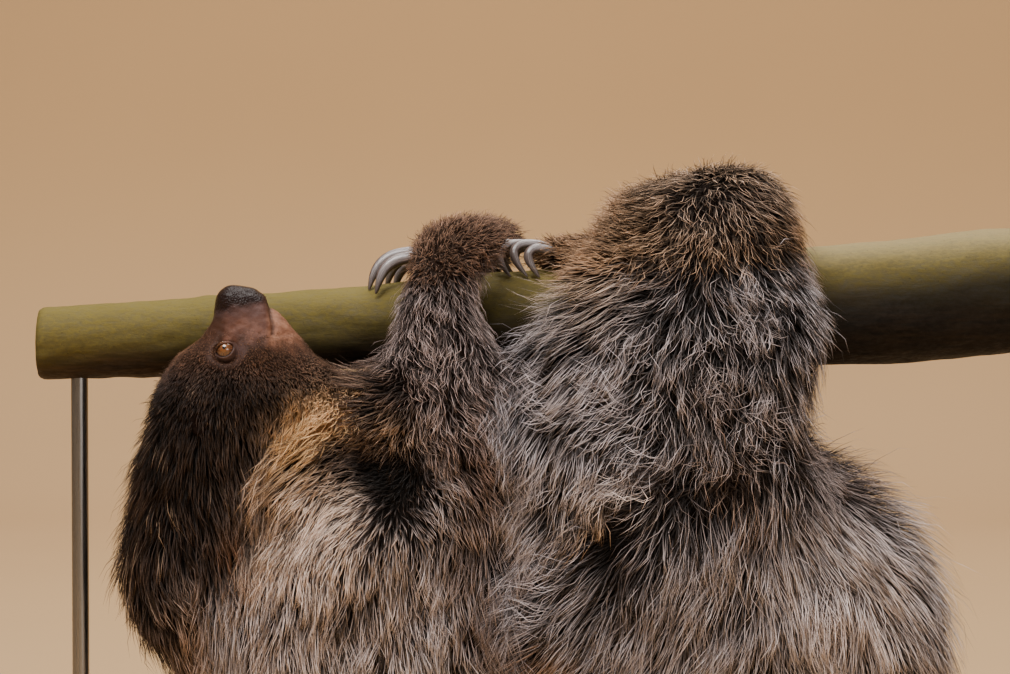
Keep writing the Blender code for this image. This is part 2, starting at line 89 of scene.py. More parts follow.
# Lie of the coat: x, z, direction along x and z, curl in millimetres, share of
# the length, and how high the locks stand as a share of the coat's depth.
LIE = (
    # head and neck
    (-0.254, 0.484, -0.5, -0.7, 0.5, 1, 1), (-0.272, 0.467, -0.55, -0.85, 0.8, 1, 1),
    (-0.283, 0.444, -0.35, -1, 1, 1, 1), (-0.228, 0.469, 0.25, -0.9, 0.5, 1, 1),
    (-0.199, 0.471, 0.75, -0.6, 0.5, 1, 1), (-0.170, 0.464, 0.85, -0.5, 0.8, 1, 1.2),
    (-0.239, 0.429, 0.05, -1, 1, 1, 1), (-0.195, 0.447, 0.5, -0.85, 1, 1, 1),
    (-0.298, 0.400, -0.15, -1, 1.5, 1, 1), (-0.254, 0.389, 0.4, -0.9, 2.5, 1, 1),
    (-0.225, 0.414, 0.3, -0.95, 1.5, 1, 1), (-0.305, 0.341, 0.1, -1, 2, 1, 1),
    (-0.272, 0.341, 0.45, -0.85, 3, 1, 1), (-0.241, 0.352, 0.25, -0.9, 3.5, 1, 1),
    (-0.294, 0.290, 0.35, -0.95, 3, 1, 1), (-0.283, 0.253, 0.4, -0.95, 3, 1.1, 1),
    # ruff and shoulder
    (-0.148, 0.456, -0.7, 0.15, 2, 0.8, 3), (-0.133, 0.452, -0.5, 0.3, 2, 0.8, 3),
    (-0.146, 0.440, -0.6, -0.4, 2.2, 0.8, 1.6), (-0.166, 0.444, -0.65, -0.7, 3, 0.7, 1.3),
    (-0.184, 0.420, -0.8, -0.6, 3, 0.8, 1), (-0.199, 0.392, -0.6, -0.85, 2.5, 0.9, 1),
    (-0.212, 0.359, -0.3, -1, 2, 1, 1), (-0.230, 0.319, -0.15, -1, 2, 1, 1),
    (-0.249, 0.268, 0, -1, 2, 1, 1), (-0.152, 0.418, -0.75, -0.6, 3, 0.8, 1),
    (-0.170, 0.389, -0.5, -0.85, 2, 0.9, 1), (-0.163, 0.349, -0.12, -1, 2.3, 1, 1),
    (-0.184, 0.297, 0, -1, 2.7, 1.1, 1), (-0.133, 0.297, 0.08, -1, 2.9, 1.1, 1),
    (-0.082, 0.297, 0.12, -1, 2.9, 1.1, 1),
    # round the hollow of the armpit
    (-0.139, 0.387, -0.9, -0.35, 2, 0.8, 1), (-0.132, 0.403, -0.6, -0.3, 2, 0.8, 1),
    (-0.089, 0.378, 0.9, -0.6, 2, 0.8, 1), (-0.111, 0.352, 0.05, -1, 2, 0.9, 1),
    (-0.093, 0.396, 0.8, -0.35, 2, 0.8, 1),
    # arm and hand
    (-0.132, 0.429, -0.25, -0.95, 3, 1, 1.1), (-0.108, 0.425, 0.35, -0.9, 3.8, 1, 1),
    (-0.078, 0.422, 0.55, -0.8, 4.2, 1, 1), (-0.060, 0.400, 0.4, -0.9, 3.8, 1, 1),
    (-0.111, 0.465, -0.2, -1, 4.2, 1, 1), (-0.082, 0.480, 0.05, -1, 5, 1, 1.1),
    (-0.049, 0.480, 0.4, -0.95, 4, 1, 1.1), (-0.078, 0.517, 0, -1, 4, 1, 1.1),
    (-0.100, 0.517, -0.25, -0.9, 3.5, 1, 1.1), (-0.053, 0.517, 0.2, -1, 3.5, 1, 1.1),
    (-0.091, 0.561, -0.25, 0.9, 3, 1, 1.3), (-0.075, 0.574, 0.35, 0.8, 3, 1, 1.4),
    (-0.053, 0.575, 0.75, 0.6, 3, 1, 1.4), (-0.035, 0.562, 0.9, -0.1, 3, 1, 1.3),
    (-0.067, 0.553, 0.75, -0.35, 3, 1, 1.2), (-0.086, 0.540, 0.1, -0.9, 3, 1, 1.1),
    (-0.053, 0.540, 0.45, -0.85, 3, 1, 1.1), (-0.053, 0.370, 0.05, -1, 2.5, 1, 1),
    (-0.053, 0.297, 0.1, -1, 2.5, 1, 1), (-0.038, 0.261, 0.1, -1, 2.5, 1, 1),
    # leg and foot
    (0.079, 0.597, -0.8, 0.15, 4, 1, 1.3), (0.119, 0.612, -0.1, 0.5, 4, 1, 1.2),
    (0.152, 0.601, 0.7, 0.1, 4, 1, 1.2), (0.177, 0.571, 0.7, -0.55, 4, 1, 1.2),
    (0.119, 0.586, -0.1, -0.8, 5, 1, 1), (0.049, 0.579, -0.9, 0.2, 4, 1.2, 2.3),
    (0.046, 0.553, -0.95, -0.1, 3, 1.25, 2.1), (0.024, 0.531, -0.9, -0.35, 3, 1.25, 1.7),
    (0.071, 0.550, -0.8, -0.2, 4, 1, 1), (0.104, 0.564, -0.45, -0.75, 5, 0.9, 1),
    (0.137, 0.553, 0.3, -0.85, 5, 0.9, 1), (0.013, 0.502, -0.75, -0.65, 3, 1.2, 1.5),
    (0.042, 0.487, -0.75, -0.65, 3.5, 1.1, 1), (-0.005, 0.458, -0.55, -0.85, 3, 1.1, 1.2),
    (-0.024, 0.422, -0.35, -0.95, 3, 1.1, 1.1), (0.028, 0.444, -0.6, -0.8, 4, 1.1, 1),
    (0.071, 0.495, -0.6, -0.7, 5, 1, 1), (0.108, 0.502, -0.2, -0.9, 6, 0.9, 1),
    (0.152, 0.502, 0.25, -0.9, 6, 0.9, 1), (0.192, 0.517, 0.5, -0.85, 5, 0.9, 1.2),
    (0.199, 0.480, 0.4, -0.9, 4, 1, 1.2), (0.071, 0.429, -0.45, -0.85, 5, 1, 1),
    (0.115, 0.444, -0.1, -0.95, 6, 0.9, 1), (0.159, 0.444, 0.2, -0.95, 6, 0.9, 1),
    (-0.024, 0.356, -0.2, -1, 3, 1.1, 1), (0.013, 0.385, -0.5, -0.85, 4, 1.1, 1),
    (0.049, 0.392, -0.55, -0.6, 6, 1, 1.1), (0.101, 0.403, -0.4, -0.5, 7, 0.9, 1.1),
    (0.137, 0.407, 0, -0.8, 7, 0.9, 1.1), (0.181, 0.422, 0.4, -0.8, 5, 0.9, 1.1),
    # thigh and rump
    (0.006, 0.327, -0.8, -0.35, 4, 1, 1), (0.042, 0.341, -0.8, -0.4, 5, 1, 1),
    (0.079, 0.327, -0.7, -0.65, 4, 1.1, 1), (0.108, 0.363, -0.55, -0.8, 4, 1.1, 1),
    (0.141, 0.370, -0.2, -0.95, 3.2, 1.2, 1), (-0.005, 0.290, -0.75, -0.5, 4, 1, 1),
    (0.035, 0.275, -0.5, -0.8, 3, 1.1, 1), (0.079, 0.268, -0.35, -0.9, 3, 1.2, 1),
    (0.130, 0.297, -0.15, -1, 3, 1.2, 1), (0.181, 0.327, 0.05, -1, 3, 1.2, 1),
    (0.181, 0.268, 0.05, -1, 3, 1.2, 1), (0.181, 0.385, 0.35, -0.9, 3.2, 1.1, 1),
    (0.214, 0.367, 0.6, -0.75, 3.2, 1.2, 1.2), (0.192, 0.414, 0.75, 0.4, 3, 1.15, 1.4),
    (0.218, 0.403, 0.9, 0.2, 3, 1.2, 1.4), (0.243, 0.389, 0.95, -0.05, 2.5, 1.2, 1.4),
    (0.260, 0.363, 0.9, -0.35, 2.5, 1.2, 1.4), (0.263, 0.330, 0.7, -0.7, 2.5, 1.2, 1.4),
    (0.276, 0.283, 0.5, -0.95, 2.5, 1.2, 1.4), (0.232, 0.297, 0.25, -1, 2.5, 1.2, 1),
)
LIE_REACH = 0.022

# Where the dark coat of head and neck ends, as x and z from the back up.
DARK_EDGE = (
    (-0.310, 0.1000), (-0.294, 0.2535), (-0.2722, 0.2878), (-0.2576, 0.3068),
    (-0.2283, 0.3412), (-0.2196, 0.3653), (-0.2137, 0.3975), (-0.1918, 0.4362),
    (-0.1662, 0.4545), (-0.1300, 0.4700), (-0.0900, 0.4800),
)

# Patches: x, z, half width, half height, strength, then dark, blond, rufous, pale.
PATCHES = (
    (-0.178, 0.352, 0.050, 0.058, 1.00, 0.0, 0.40, 0.00, 1.00),    # shoulder: paler coat, brightened further as painted light
    (-0.180, 0.255, 0.090, 0.060, 0.75, 0.0, 0.08, 0.00, 0.74),    # below the shoulder
    (-0.085, 0.330, 0.030, 0.040, 0.70, 0.10, 0.0, 0.00, 0.65),    # below the armpit
    (-0.105, 0.278, 0.055, 0.045, 0.75, 0.0, 0.00, 0.00, 0.80),    # flank
    (-0.160, 0.428, 0.044, 0.035, 1.00, 0.0, 1.00, 0.08, 0.0),     # golden ruff
    (-0.207, 0.378, 0.015, 0.040, 0.60, 0.0, 0.42, 0.10, 0.50),    # its lower edge
    (-0.141, 0.459, 0.025, 0.011, 1.00, 0.86, 0.04, 0.80, 0.0),    # top of the ruff: dark rufous coat, darker still as painted shade below the pole
    (-0.133, 0.448, 0.0070, 0.026, 1.00, 0.88, 0.08, 0.45, 0.0),     # painted shade between ruff and arm
    (-0.141, 0.404, 0.014, 0.011, 0.85, 0.90, 0.0, 0.10, 0.0),     # painted shade in the gap below it
    (-0.124, 0.457, 0.010, 0.010, 0.75, 0.66, 0.08, 0.50, 0.0),   # painted shade on the arm beside the ruff
    (-0.287, 0.268, 0.028, 0.050, 0.90, 0.1, 0.34, 0.34, 0.15),    # side of the nape
    (-0.170, 0.438, 0.018, 0.012, 0.60, 0.15, 0.72, 0.25, 0.0),     # middle of the ruff
    (-0.257, 0.444, 0.035, 0.020, 0.60, 0.72, 0.05, 0.16, 0.05),    # crown
    (-0.238, 0.347, 0.013, 0.020, 0.70, 0.2, 0.10, 0.90, 0.0),     # wisps beside the ruff
    (0.130, 0.590, 0.050, 0.034, 0.80, 0.14, 0.38, 0.20, 0.38),    # heel
    (0.095, 0.546, 0.030, 0.009, 0.60, 0.7, 0.05, 0.15, 0.0),      # painted shade in the crease below the heel
    (0.030, 0.548, 0.040, 0.030, 0.85, 0.05, 0.60, 0.08, 0.30),    # front edge of the shank
    (0.035, 0.450, 0.055, 0.055, 0.70, 0.0, 0.00, 0.00, 0.68),     # pale locks of the shank
    (0.120, 0.460, 0.040, 0.045, 0.60, 0.22, 0.12, 0.12, 0.40),    # darker back half
    (0.054, 0.384, 0.034, 0.018, 0.95, 0.0, 0.20, 0.00, 1.00),     # above the knee's bend
    (0.038, 0.369, 0.024, 0.012, 0.85, 0.0, 0.80, 0.10, 0.20),     # curls at the knee's bend
    (0.141, 0.395, 0.030, 0.012, 0.80, 0.1, 0.40, 0.50, 0.0),      # curls at the hip
    (0.125, 0.290, 0.070, 0.060, 0.50, 0.0, 0.03, 0.00, 0.62),     # thigh
    (0.225, 0.318, 0.060, 0.075, 0.95, 0.0, 0.10, 0.00, 1.00),     # rump: paler coat, brightened further as painted light from the right
    (0.225, 0.398, 0.045, 0.022, 0.80, 0.22, 0.10, 0.25, 0.45),    # fringe of the rump
    (0.009, 0.255, 0.022, 0.018, 0.90, 0.0, 0.55, 0.70, 0.0),      # orange patch
    (-0.018, 0.276, 0.018, 0.014, 0.80, 0.9, 0.0, 0.0, 0.0),       # painted shade in the gap above it
    (-0.055, 0.400, 0.014, 0.040, 0.50, 0.1, 0.0, 0.50, 0.10),     # behind the arm
    (-0.053, 0.300, 0.014, 0.070, 0.70, 0.45, 0.05, 0.15, 0.10),   # darker coat with painted shade in the gap before the leg
    (-0.004, 0.544, 0.016, 0.006, 0.90, 0.90, 0.0, 0.25, 0.0),     # dark sole with painted shade under the toes
)

# Coat pieces: name, the body parts it grows on, side of the middle, and slot.
COATS = (
    ("coat_head", ("head",), 0, "coat_head"),
    ("coat_neck", ("neck",), 0, "coat_neck"),
    ("coat_flank_right", ("trunk",), -1, "coat_trunk"),
    ("coat_flank_left", ("trunk",), 1, "coat_trunk"),
    ("coat_arm_right", ("upper_arm", "forearm", "hand"), -1, "coat_forearm"),
    ("coat_arm_left", ("upper_arm", "forearm", "hand"), 1, "coat_forearm"),
    ("coat_thigh_right", ("thigh",), -1, "coat_leg"),
    ("coat_thigh_left", ("thigh",), 1, "coat_leg"),
    ("coat_shank_right", ("shank",), -1, "coat_leg"),
    ("coat_shank_left", ("shank",), 1, "coat_leg"),
    ("coat_foot_right", ("foot",), -1, "coat_foot"),
    ("coat_foot_left", ("foot",), 1, "coat_foot"),
)


# ---------------------------------------------------------------- properties
def amount(name, text, value, **kind):
    """A number property."""
    return FloatProperty(name=name, description=text, default=value, **kind)


def colour(name, text, value):
    """A colour property."""
    return FloatVectorProperty(
        name=name, description=text, default=value, subtype="COLOR", size=3, min=0, max=1)


class SlothSizes(bpy.types.PropertyGroup):
    """Sizes a user may change."""
    skin_grain: amount("Skin grain", "Size of the skin's faces", 0.0042, unit="LENGTH")
    coat_depth: amount("Coat depth", "How deep the skin lies below the tips, as a share",
                       1.0, subtype="FACTOR")
    coat_length: amount("Lock length", "Length of every lock, as a share", 1.0, subtype="FACTOR")
    coat_width: amount("Lock width", "Width of every lock, as a share", 1.0, subtype="FACTOR")
    coat_density: amount("Coat density", "Number of locks, as a share", 1.0, subtype="FACTOR")
    eye_radius: amount("Eye radius", "Radius of an eyeball", 0.0080, unit="LENGTH")
    rod_radius: amount("Rod radius", "Radius of the stand's rods", 0.0065, unit="LENGTH")
    camera_distance: amount("Camera distance", "From the camera to the middle of the pole",
                            2.40, unit="LENGTH")
    camera_height: amount("Camera elevation", "Angle of the camera above level",
                          math.radians(2.0), unit="ROTATION")
    coat_seed: IntProperty(
        name="Coat seed", description="Number that sets where the locks stand", default=7)


class SlothColours(bpy.types.PropertyGroup):
    """Colours a user may change, in linear light."""
    root: colour("Under-fur", "Coat near the skin", (0.0046, 0.0028, 0.0020))
    tip: colour("Coat tips", "Tips on the trunk and limbs", (0.308, 0.272, 0.292))
    pale_tip: colour("Pale tips", "Tips where the coat is palest", (0.920, 0.830, 0.850))
    pale_root: colour("Pale root", "Palest coat near the skin", (0.142, 0.112, 0.108))
    blond_root: colour("Blond root", "Throat coat near the skin", (0.420, 0.245, 0.108))
    blond_tip: colour("Blond tips", "Throat coat tips", (0.980, 0.640, 0.320))
    dark_root: colour("Dark root", "Head and neck coat near the skin", (0.0048, 0.0030, 0.0021))
    dark_tip: colour("Dark tips", "Head and neck coat tips", (0.068, 0.040, 0.027))
    fleck: colour("Flecks", "Single pale hairs in the dark coat", (0.300, 0.210, 0.140))
    rufous_root: colour("Rufous root", "Hands, feet and cheeks at the skin", (0.030, 0.013, 0.006))
    rufous_tip: colour("Rufous tips", "Hands, feet and cheeks", (0.400, 0.165, 0.056))
    muzzle: colour("Muzzle", "Bare skin of the muzzle", (0.118, 0.050, 0.032))
    chin: colour("Chin", "Bare skin of the lower lip and chin", (0.240, 0.108, 0.062))
    nose: colour("Nose", "Nose pad", (0.016, 0.0080, 0.0068))
    lid: colour("Lower lid", "Bare lower lid", (0.105, 0.066, 0.058))
    lid_brown: colour("Upper lid", "Bare upper lid", (0.040, 0.016, 0.010))
    flush: colour("Lid spot", "Pink spot above the eye", (0.330, 0.150, 0.105))
    bruise: colour("Eye corner", "Grey skin at the eye's corner", (0.090, 0.053, 0.050))
    iris: colour("Iris", "Iris of the eye", (0.170, 0.058, 0.012))
    claw: colour("Claws", "Horn of the claws", (0.158, 0.136, 0.140))
    claw_light: colour("Claw ridge", "Light streak of the horn", (0.380, 0.330, 0.310))
    moss: colour("Moss", "Green of the pole", (0.147, 0.111, 0.022))
    bark: colour("Bark", "Bare bark of the pole", (0.092, 0.053, 0.024))
    cut_wood: colour("Cut wood", "Sawn ends of the pole", (0.420, 0.270, 0.140))
    stand_wood: colour("Stand wood", "Base of the stand", (0.060, 0.034, 0.020))
    stand_metal: colour("Stand metal", "Rods of the stand", (0.320, 0.310, 0.300))
    floor: colour("Floor", "Floor of the stage", (0.565, 0.370, 0.195))
    backdrop: colour("Backdrop", "Wall behind the stage", (0.490, 0.300, 0.140))


def sizes():
    """The sizes in use."""
    return bpy.context.scene.sloth_sizes


def shades():
    """The colours in use."""
    return bpy.context.scene.sloth_colours


# ------------------------------------------------------------------- helpers
def ease(low, high, x):
    """Smooth step from 0 at low to 1 at high."""
    t = np.clip((np.asarray(x, float) - low) / (high - low), 0.0, 1.0)
    return t * t * (3.0 - 2.0 * t)


def bell(distance, width):
    """Smooth bump that is 1 at distance 0."""
    return np.exp(-(distance / width) ** 2)


def blend(a, b, on):
    """From a to b as on goes from 0 to 1."""
    return a * (1 - on) + on * b


def unit(v):
    """Rows of a vector array made unit length."""
    return v / np.maximum(np.linalg.norm(v, axis=1, keepdims=True), 1e-9)


def ripple(points, size, seed, octaves=3):
    """Smooth noise between about -1 and 1, from waves of random direction."""
    rng = np.random.default_rng(seed)
    total = np.zeros(len(points))
    weight, amount, scale = 0.0, 1.0, TAU / size
    for _ in range(octaves):
        for _ in range(5):
            way = rng.normal(size=3)
            way /= np.linalg.norm(way)
            total += amount * np.sin(points @ way * scale + rng.uniform(0, TAU))
        weight += amount * 2.0
        amount *= 0.5
        scale *= 2.1
    return total / weight


def relax(values, edges, rounds, hold=None):
    """Average each row with its neighbours along the edges."""
    count = len(values)
    a, b = edges[:, 0], edges[:, 1]
    degree = np.bincount(a, minlength=count) + np.bincount(b, minlength=count)
    degree = np.maximum(degree, 1)
    values = values.reshape(count, -1).astype(float)
    for _ in range(rounds):
        new = np.empty_like(values)
        for k in range(values.shape[1]):
            column = values[:, k]
            new[:, k] = (np.bincount(a, column[b], count) + np.bincount(b, column[a], count))
        new /= degree[:, None]
        mixed = 0.5 * values + 0.5 * new
        if hold is not None:
            mixed = values + (mixed - values) * hold[:, None]
        values = mixed
    return values


def positions(mesh):
    """Vertex places of a mesh as an array."""
    co = np.empty(len(mesh.vertices) * 3)
    mesh.vertices.foreach_get("co", co)
    return co.reshape(-1, 3)


def normals(mesh):
    """Vertex normals of a mesh as an array."""
    no = np.empty(len(mesh.vertices) * 3)
    mesh.vertex_normals.foreach_get("vector", no)
    return no.reshape(-1, 3)


def edge_pairs(mesh):
    """Edges of a mesh as an array of vertex pairs."""
    ends = np.empty(len(mesh.edges) * 2, dtype=np.int64)
    mesh.edges.foreach_get("vertices", ends)
    return ends.reshape(-1, 2)


def flat_floats(values):
    """Values as one flat array, as Blender takes them."""
    return np.ascontiguousarray(values, dtype=np.float32).ravel()


def place(mesh, co):
    """Move the vertices of a mesh."""
    mesh.vertices.foreach_set("co", flat_floats(co))
    mesh.update()


def new_piece(name, mesh, slot, *nodes, smooth=True):
    """Put a finished mesh in the scene as a piece of the part."""
    obj = bpy.data.objects.new(name, mesh)
    bpy.context.scene.collection.objects.link(obj)
    if smooth:
        mesh.shade_smooth()
    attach(obj, "root")
    if nodes:
        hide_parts(*nodes)
    return obj


def bridge(bm, rings):
    """Faces between closed rings of vertices that follow each other."""
    for a, b in zip(rings, rings[1:]):
        for j in range(len(a)):
            k = (j + 1) % len(a)
            bm.faces.new((a[j], a[k], b[k], b[j]))


def mesh_from(bm, name):
    """Turn a bmesh into a mesh facing outwards."""
    bmesh.ops.recalc_face_normals(bm, faces=bm.faces)
    mesh = bpy.data.meshes.new(name)
    bm.to_mesh(mesh)
    bm.free()
    return mesh


def settled(obj):
    """The mesh of an object with its modifiers applied; the object goes."""
    bpy.context.view_layer.update()
    graph = bpy.context.evaluated_depsgraph_get()
    mesh = bpy.data.meshes.new_from_object(obj.evaluated_get(graph))
    bpy.data.objects.remove(obj, do_unlink=True)
    return mesh


def welded(name):
    """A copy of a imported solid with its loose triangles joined."""
    bm = bmesh.new()
    bm.from_mesh(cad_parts[name].data)
    bmesh.ops.remove_doubles(bm, verts=bm.verts, dist=0.000002)
    bm.normal_update()
    return bm


# Kinds of stored value: what its data is called, and how many numbers it has.
KINDS = {"FLOAT": ("value", 1), "FLOAT_VECTOR": ("vector", 3), "FLOAT_COLOR": ("color", 4)}


def put_attribute(mesh, name, kind, values):
    """Store one value for each vertex."""
    layer = mesh.attributes.new(name, kind, "POINT")
    layer.data.foreach_set(KINDS[kind][0], flat_floats(values))


def get_attribute(mesh, name, kind):
    """Read a stored value for each vertex."""
    key, width = KINDS[kind]
    values = np.empty(len(mesh.vertices) * width)
    mesh.attributes[name].data.foreach_get(key, values)
    return values.reshape(-1, width)


# ----------------------------------------------------------------- materials
def feed(tree, socket, value):
    """Link an input to a socket, or set it to a number or a colour."""
    if isinstance(value, bpy.types.NodeSocket):
        tree.links.new(value, socket)
    elif isinstance(value, (int, float)):
        socket.default_value = value
    else:
        socket.default_value = (*value[:3], 1.0)


class Net:
    """Shorthand for building a node tree."""

    def __init__(self, tree):
        self.tree = tree
        tree.nodes.clear()

    def add(self, kind, out=0, links=None, values=None, **settings):
        """Add a node, set it, wire its inputs, and return one output."""
        node = self.tree.nodes.new(kind)
        for key, value in settings.items():
            setattr(node, key, value)
        for key, value in (values or {}).items():
            node.inputs[key].default_value = value
        for key, source in (links or {}).items():
            self.tree.links.new(source, node.inputs[key])
        return node.outputs[out] if node.outputs else node

    def math(self, operation, a, b=None, c=None, clamp=False):
        """A Math node on sockets or numbers."""
        node = self.tree.nodes.new("ShaderNodeMath")
        node.operation = operation
        node.use_clamp = clamp
        for i, value in enumerate((a, b, c)):
            if value is not None:
                feed(self.tree, node.inputs[i], value)
        return node.outputs[0]

    def mix(self, factor, a, b, blend="MIX"):
        """Mix two colours, each a socket or a tuple."""
        node = self.tree.nodes.new("ShaderNodeMix")
        node.data_type = "RGBA"
        node.blend_type = blend
        node.clamp_factor = True
        for i, value in ((0, factor), (6, a), (7, b)):
            feed(self.tree, node.inputs[i], value)
        return node.outputs[2]

    def part(self, value, share):
        """A value times a share."""
        return self.math("MULTIPLY", value, share)

    def times(self, a, b):
        """Two colours multiplied."""
        return self.mix(1.0, a, b, "MULTIPLY")

    def grey(self, value):
        """A grey as bright as a value."""
        return self.add("ShaderNodeCombineColor", links={0: value, 1: value, 2: value})

    def stored(self, name):
        """The parts of a stored vector."""
        vector = attribute(self, name).outputs["Vector"]
        return self.add("ShaderNodeSeparateXYZ", links={"Vector": vector}).node.outputs

    def step(self, value, low, high, to_low=0.0, to_high=1.0):
        """Smooth map of a value from one range to another."""
        return self.add(
            "ShaderNodeMapRange", links={"Value": value}, interpolation_type="SMOOTHSTEP",
            values={"From Min": low, "From Max": high, "To Min": to_low, "To Max": to_high})

    def spots(self, scale):
        """Distance to the nearest of many scattered points."""
        return self.add("ShaderNodeTexVoronoi", feature="F1", values={"Scale": scale},
                        links={"Vector": self.add("ShaderNodeTexCoord", out=3)})

    def noise(self, scale, detail=3.0, rough=0.55, stretch=None):
        """Noise on object coordinates, stretched if asked."""
        coords = self.add("ShaderNodeTexCoord", out=3)
        if stretch:
            coords = self.add("ShaderNodeMapping", links={"Vector": coords},
                              values={"Scale": stretch})
        return self.add("ShaderNodeTexNoise", links={"Vector": coords},
                        values={"Scale": scale, "Detail": detail, "Roughness": rough})


def new_material(name):
    """A material with a Principled shader; returns both and the net."""
    mat = bpy.data.materials.new(name)
    mat.use_nodes = True
    net = Net(mat.node_tree)
    shader = mat.node_tree.nodes.new("ShaderNodeBsdfPrincipled")
    output = mat.node_tree.nodes.new("ShaderNodeOutputMaterial")
    mat.node_tree.links.new(shader.outputs[0], output.inputs["Surface"])
    return mat, net, shader


def wire(net, shader, **sockets):
    """Connect or set inputs of the Principled shader by name."""
    for key, value in sockets.items():
        feed(net.tree, shader.inputs[key.replace("_", " ")], value)


def bump(net, height, distance, strength=1.0, below=None):
    """A Bump node; below is a normal that it works on."""
    links = {"Height": height}
    if below is not None:
        links["Normal"] = below
    return net.add("ShaderNodeBump", links=links,
                   values={"Distance": distance, "Strength": strength})


def coat_group():
    """Node group that turns markings, place along a lock and tint into colour."""
    name = "Coat Colour"
    if name in bpy.data.node_groups:
        return bpy.data.node_groups[name]
    group = bpy.data.node_groups.new(name, "ShaderNodeTree")
    face = group.interface
    for label, kind in (("Dark", "Float"), ("Blond", "Float"), ("Rufous", "Float"),
                        ("Pale", "Float"), ("Along", "Float"), ("Tint", "Float")):
        face.new_socket(label, in_out="INPUT", socket_type="NodeSocket" + kind)
    face.new_socket("Color", in_out="OUTPUT", socket_type="NodeSocketColor")
    face.new_socket("Roughness", in_out="OUTPUT", socket_type="NodeSocketFloat")
    net = Net(group)
    inputs = group.nodes.new("NodeGroupInput")
    outputs = group.nodes.new("NodeGroupOutput")
    dark, blond, rufous, pale, along, tint = (inputs.outputs[i] for i in range(6))
    tone = shades()
    root = net.mix(net.step(pale, 0.55, 1.0), tone.root, tone.pale_root)
    root = net.mix(net.step(blond, 0.50, 0.95), root, tone.blond_root)
    root = net.mix(net.part(rufous, 0.8), root, tone.rufous_root)
    root = net.mix(dark, root, tone.dark_root)
    tip = net.mix(pale, tone.tip, tone.pale_tip)
    tip = net.mix(blond, tip, tone.blond_tip)
    tip = net.mix(rufous, tip, tone.rufous_tip)
    is_fleck = net.step(tint, 0.78, 0.92)
    dark_tip = net.mix(is_fleck, tone.dark_tip, tone.fleck)
    tip = net.mix(dark, tip, dark_tip)
    shade = net.step(tint, 0.0, 1.0, 0.05, 1.50)
    tip = net.times(tip, net.grey(shade))
    lift = net.math("ADD", net.part(net.step(pale, 0.5, 1.0), 0.14),
                    net.part(net.step(blond, 0.50, 0.95), 0.16))
    body = net.step(net.math("ADD", along, lift), 0.20, 0.78)
    group.links.new(net.mix(body, root, tip), outputs.inputs["Color"])
    group.links.new(net.step(tint, 0.0, 1.0, 0.62, 0.46), outputs.inputs["Roughness"])
    return group


def use_coat(net, mark, along, tint):
    """Place the coat group and return its colour and roughness."""
    node = net.tree.nodes.new("ShaderNodeGroup")
    node.node_tree = coat_group()
    split = net.add("ShaderNodeSeparateColor", links={"Color": mark.outputs["Color"]})
    parts = split.node.outputs
    for key, source in (("Dark", parts[0]), ("Blond", parts[1]), ("Rufous", parts[2]),
                        ("Pale", mark.outputs["Alpha"]), ("Along", along), ("Tint", tint)):
        feed(net.tree, node.inputs[key], source)
    return node.outputs["Color"], node.outputs["Roughness"]


def attribute(net, name):
    """An Attribute node reading a stored value."""
    node = net.tree.nodes.new("ShaderNodeAttribute")
    node.attribute_name = name
    return node


def coat_material():
    """The material shared by every lock of the coat."""
    if "coat" in bpy.data.materials:
        return bpy.data.materials["coat"]
    mat, net, shader = new_material("coat")
    mark = attribute(net, "mark")
    along, tint, _ = net.stored("strand")
    col, rough = use_coat(net, mark, along, tint)
    wire(net, shader, Base_Color=col, Roughness=rough, Specular_IOR_Level=0.22)
    return mat


def skin_material():
    """Bare muzzle, nose pad and the under-fur that shows between locks."""
    mat, net, shader = new_material("skin")
    tone = shades()
    mark = attribute(net, "mark")
    face = attribute(net, "face")
    streak = net.noise(1.0, 3.0, 0.6, stretch=(900.0, 900.0, 110.0))
    fur, _ = use_coat(net, mark, net.part(streak, 0.30), net.part(streak, 0.7))
    zones = net.add("ShaderNodeSeparateColor", links={"Color": face.outputs["Color"]}).node.outputs
    dim = face.outputs["Alpha"]
    mottle = net.noise(120.0, 4.0, 0.6)
    fine = net.noise(1100.0, 3.0, 0.6)
    skin = net.mix(zones[2], tone.muzzle, tone.chin)
    dark_skin = net.times(skin, (0.62, 0.56, 0.54))
    skin = net.mix(net.step(mottle, 0.36, 0.66), skin, dark_skin)
    light_skin = net.times(skin, (1.35, 1.32, 1.32))
    skin = net.mix(net.part(net.step(fine, 0.50, 0.72), 0.5), skin, light_skin)
    brown = net.times(tone.muzzle, (0.26, 0.26, 0.22))
    skin = net.mix(dim, skin, brown)
    spot = net.stored("spot")
    skin = net.mix(spot[0], skin, tone.flush)
    skin = net.mix(spot[1], skin, tone.bruise)
    skin = net.mix(zones[1], skin, tone.nose)
    base = net.mix(zones[0], fur, skin)
    rough = net.mix(zones[1], (0.52,) * 3, (0.33,) * 3)
    rough = net.mix(zones[0], (0.85,) * 3, rough)
    pebbles = net.part(net.spots(620.0), -2.6)
    grain = net.math("ADD", fine, net.part(zones[1], pebbles))
    height = net.add("ShaderNodeMix", data_type="FLOAT", links={0: zones[0], 2: streak, 3: grain})
    pores = bump(net, height, 0.0006, 0.5)
    wire(net, shader, Base_Color=base, Roughness=rough, Normal=pores, Specular_IOR_Level=0.13,
         Coat_Weight=net.part(net.math("POWER", zones[1], 2.0), 0.10),
         Coat_Roughness=0.12)
    return mat


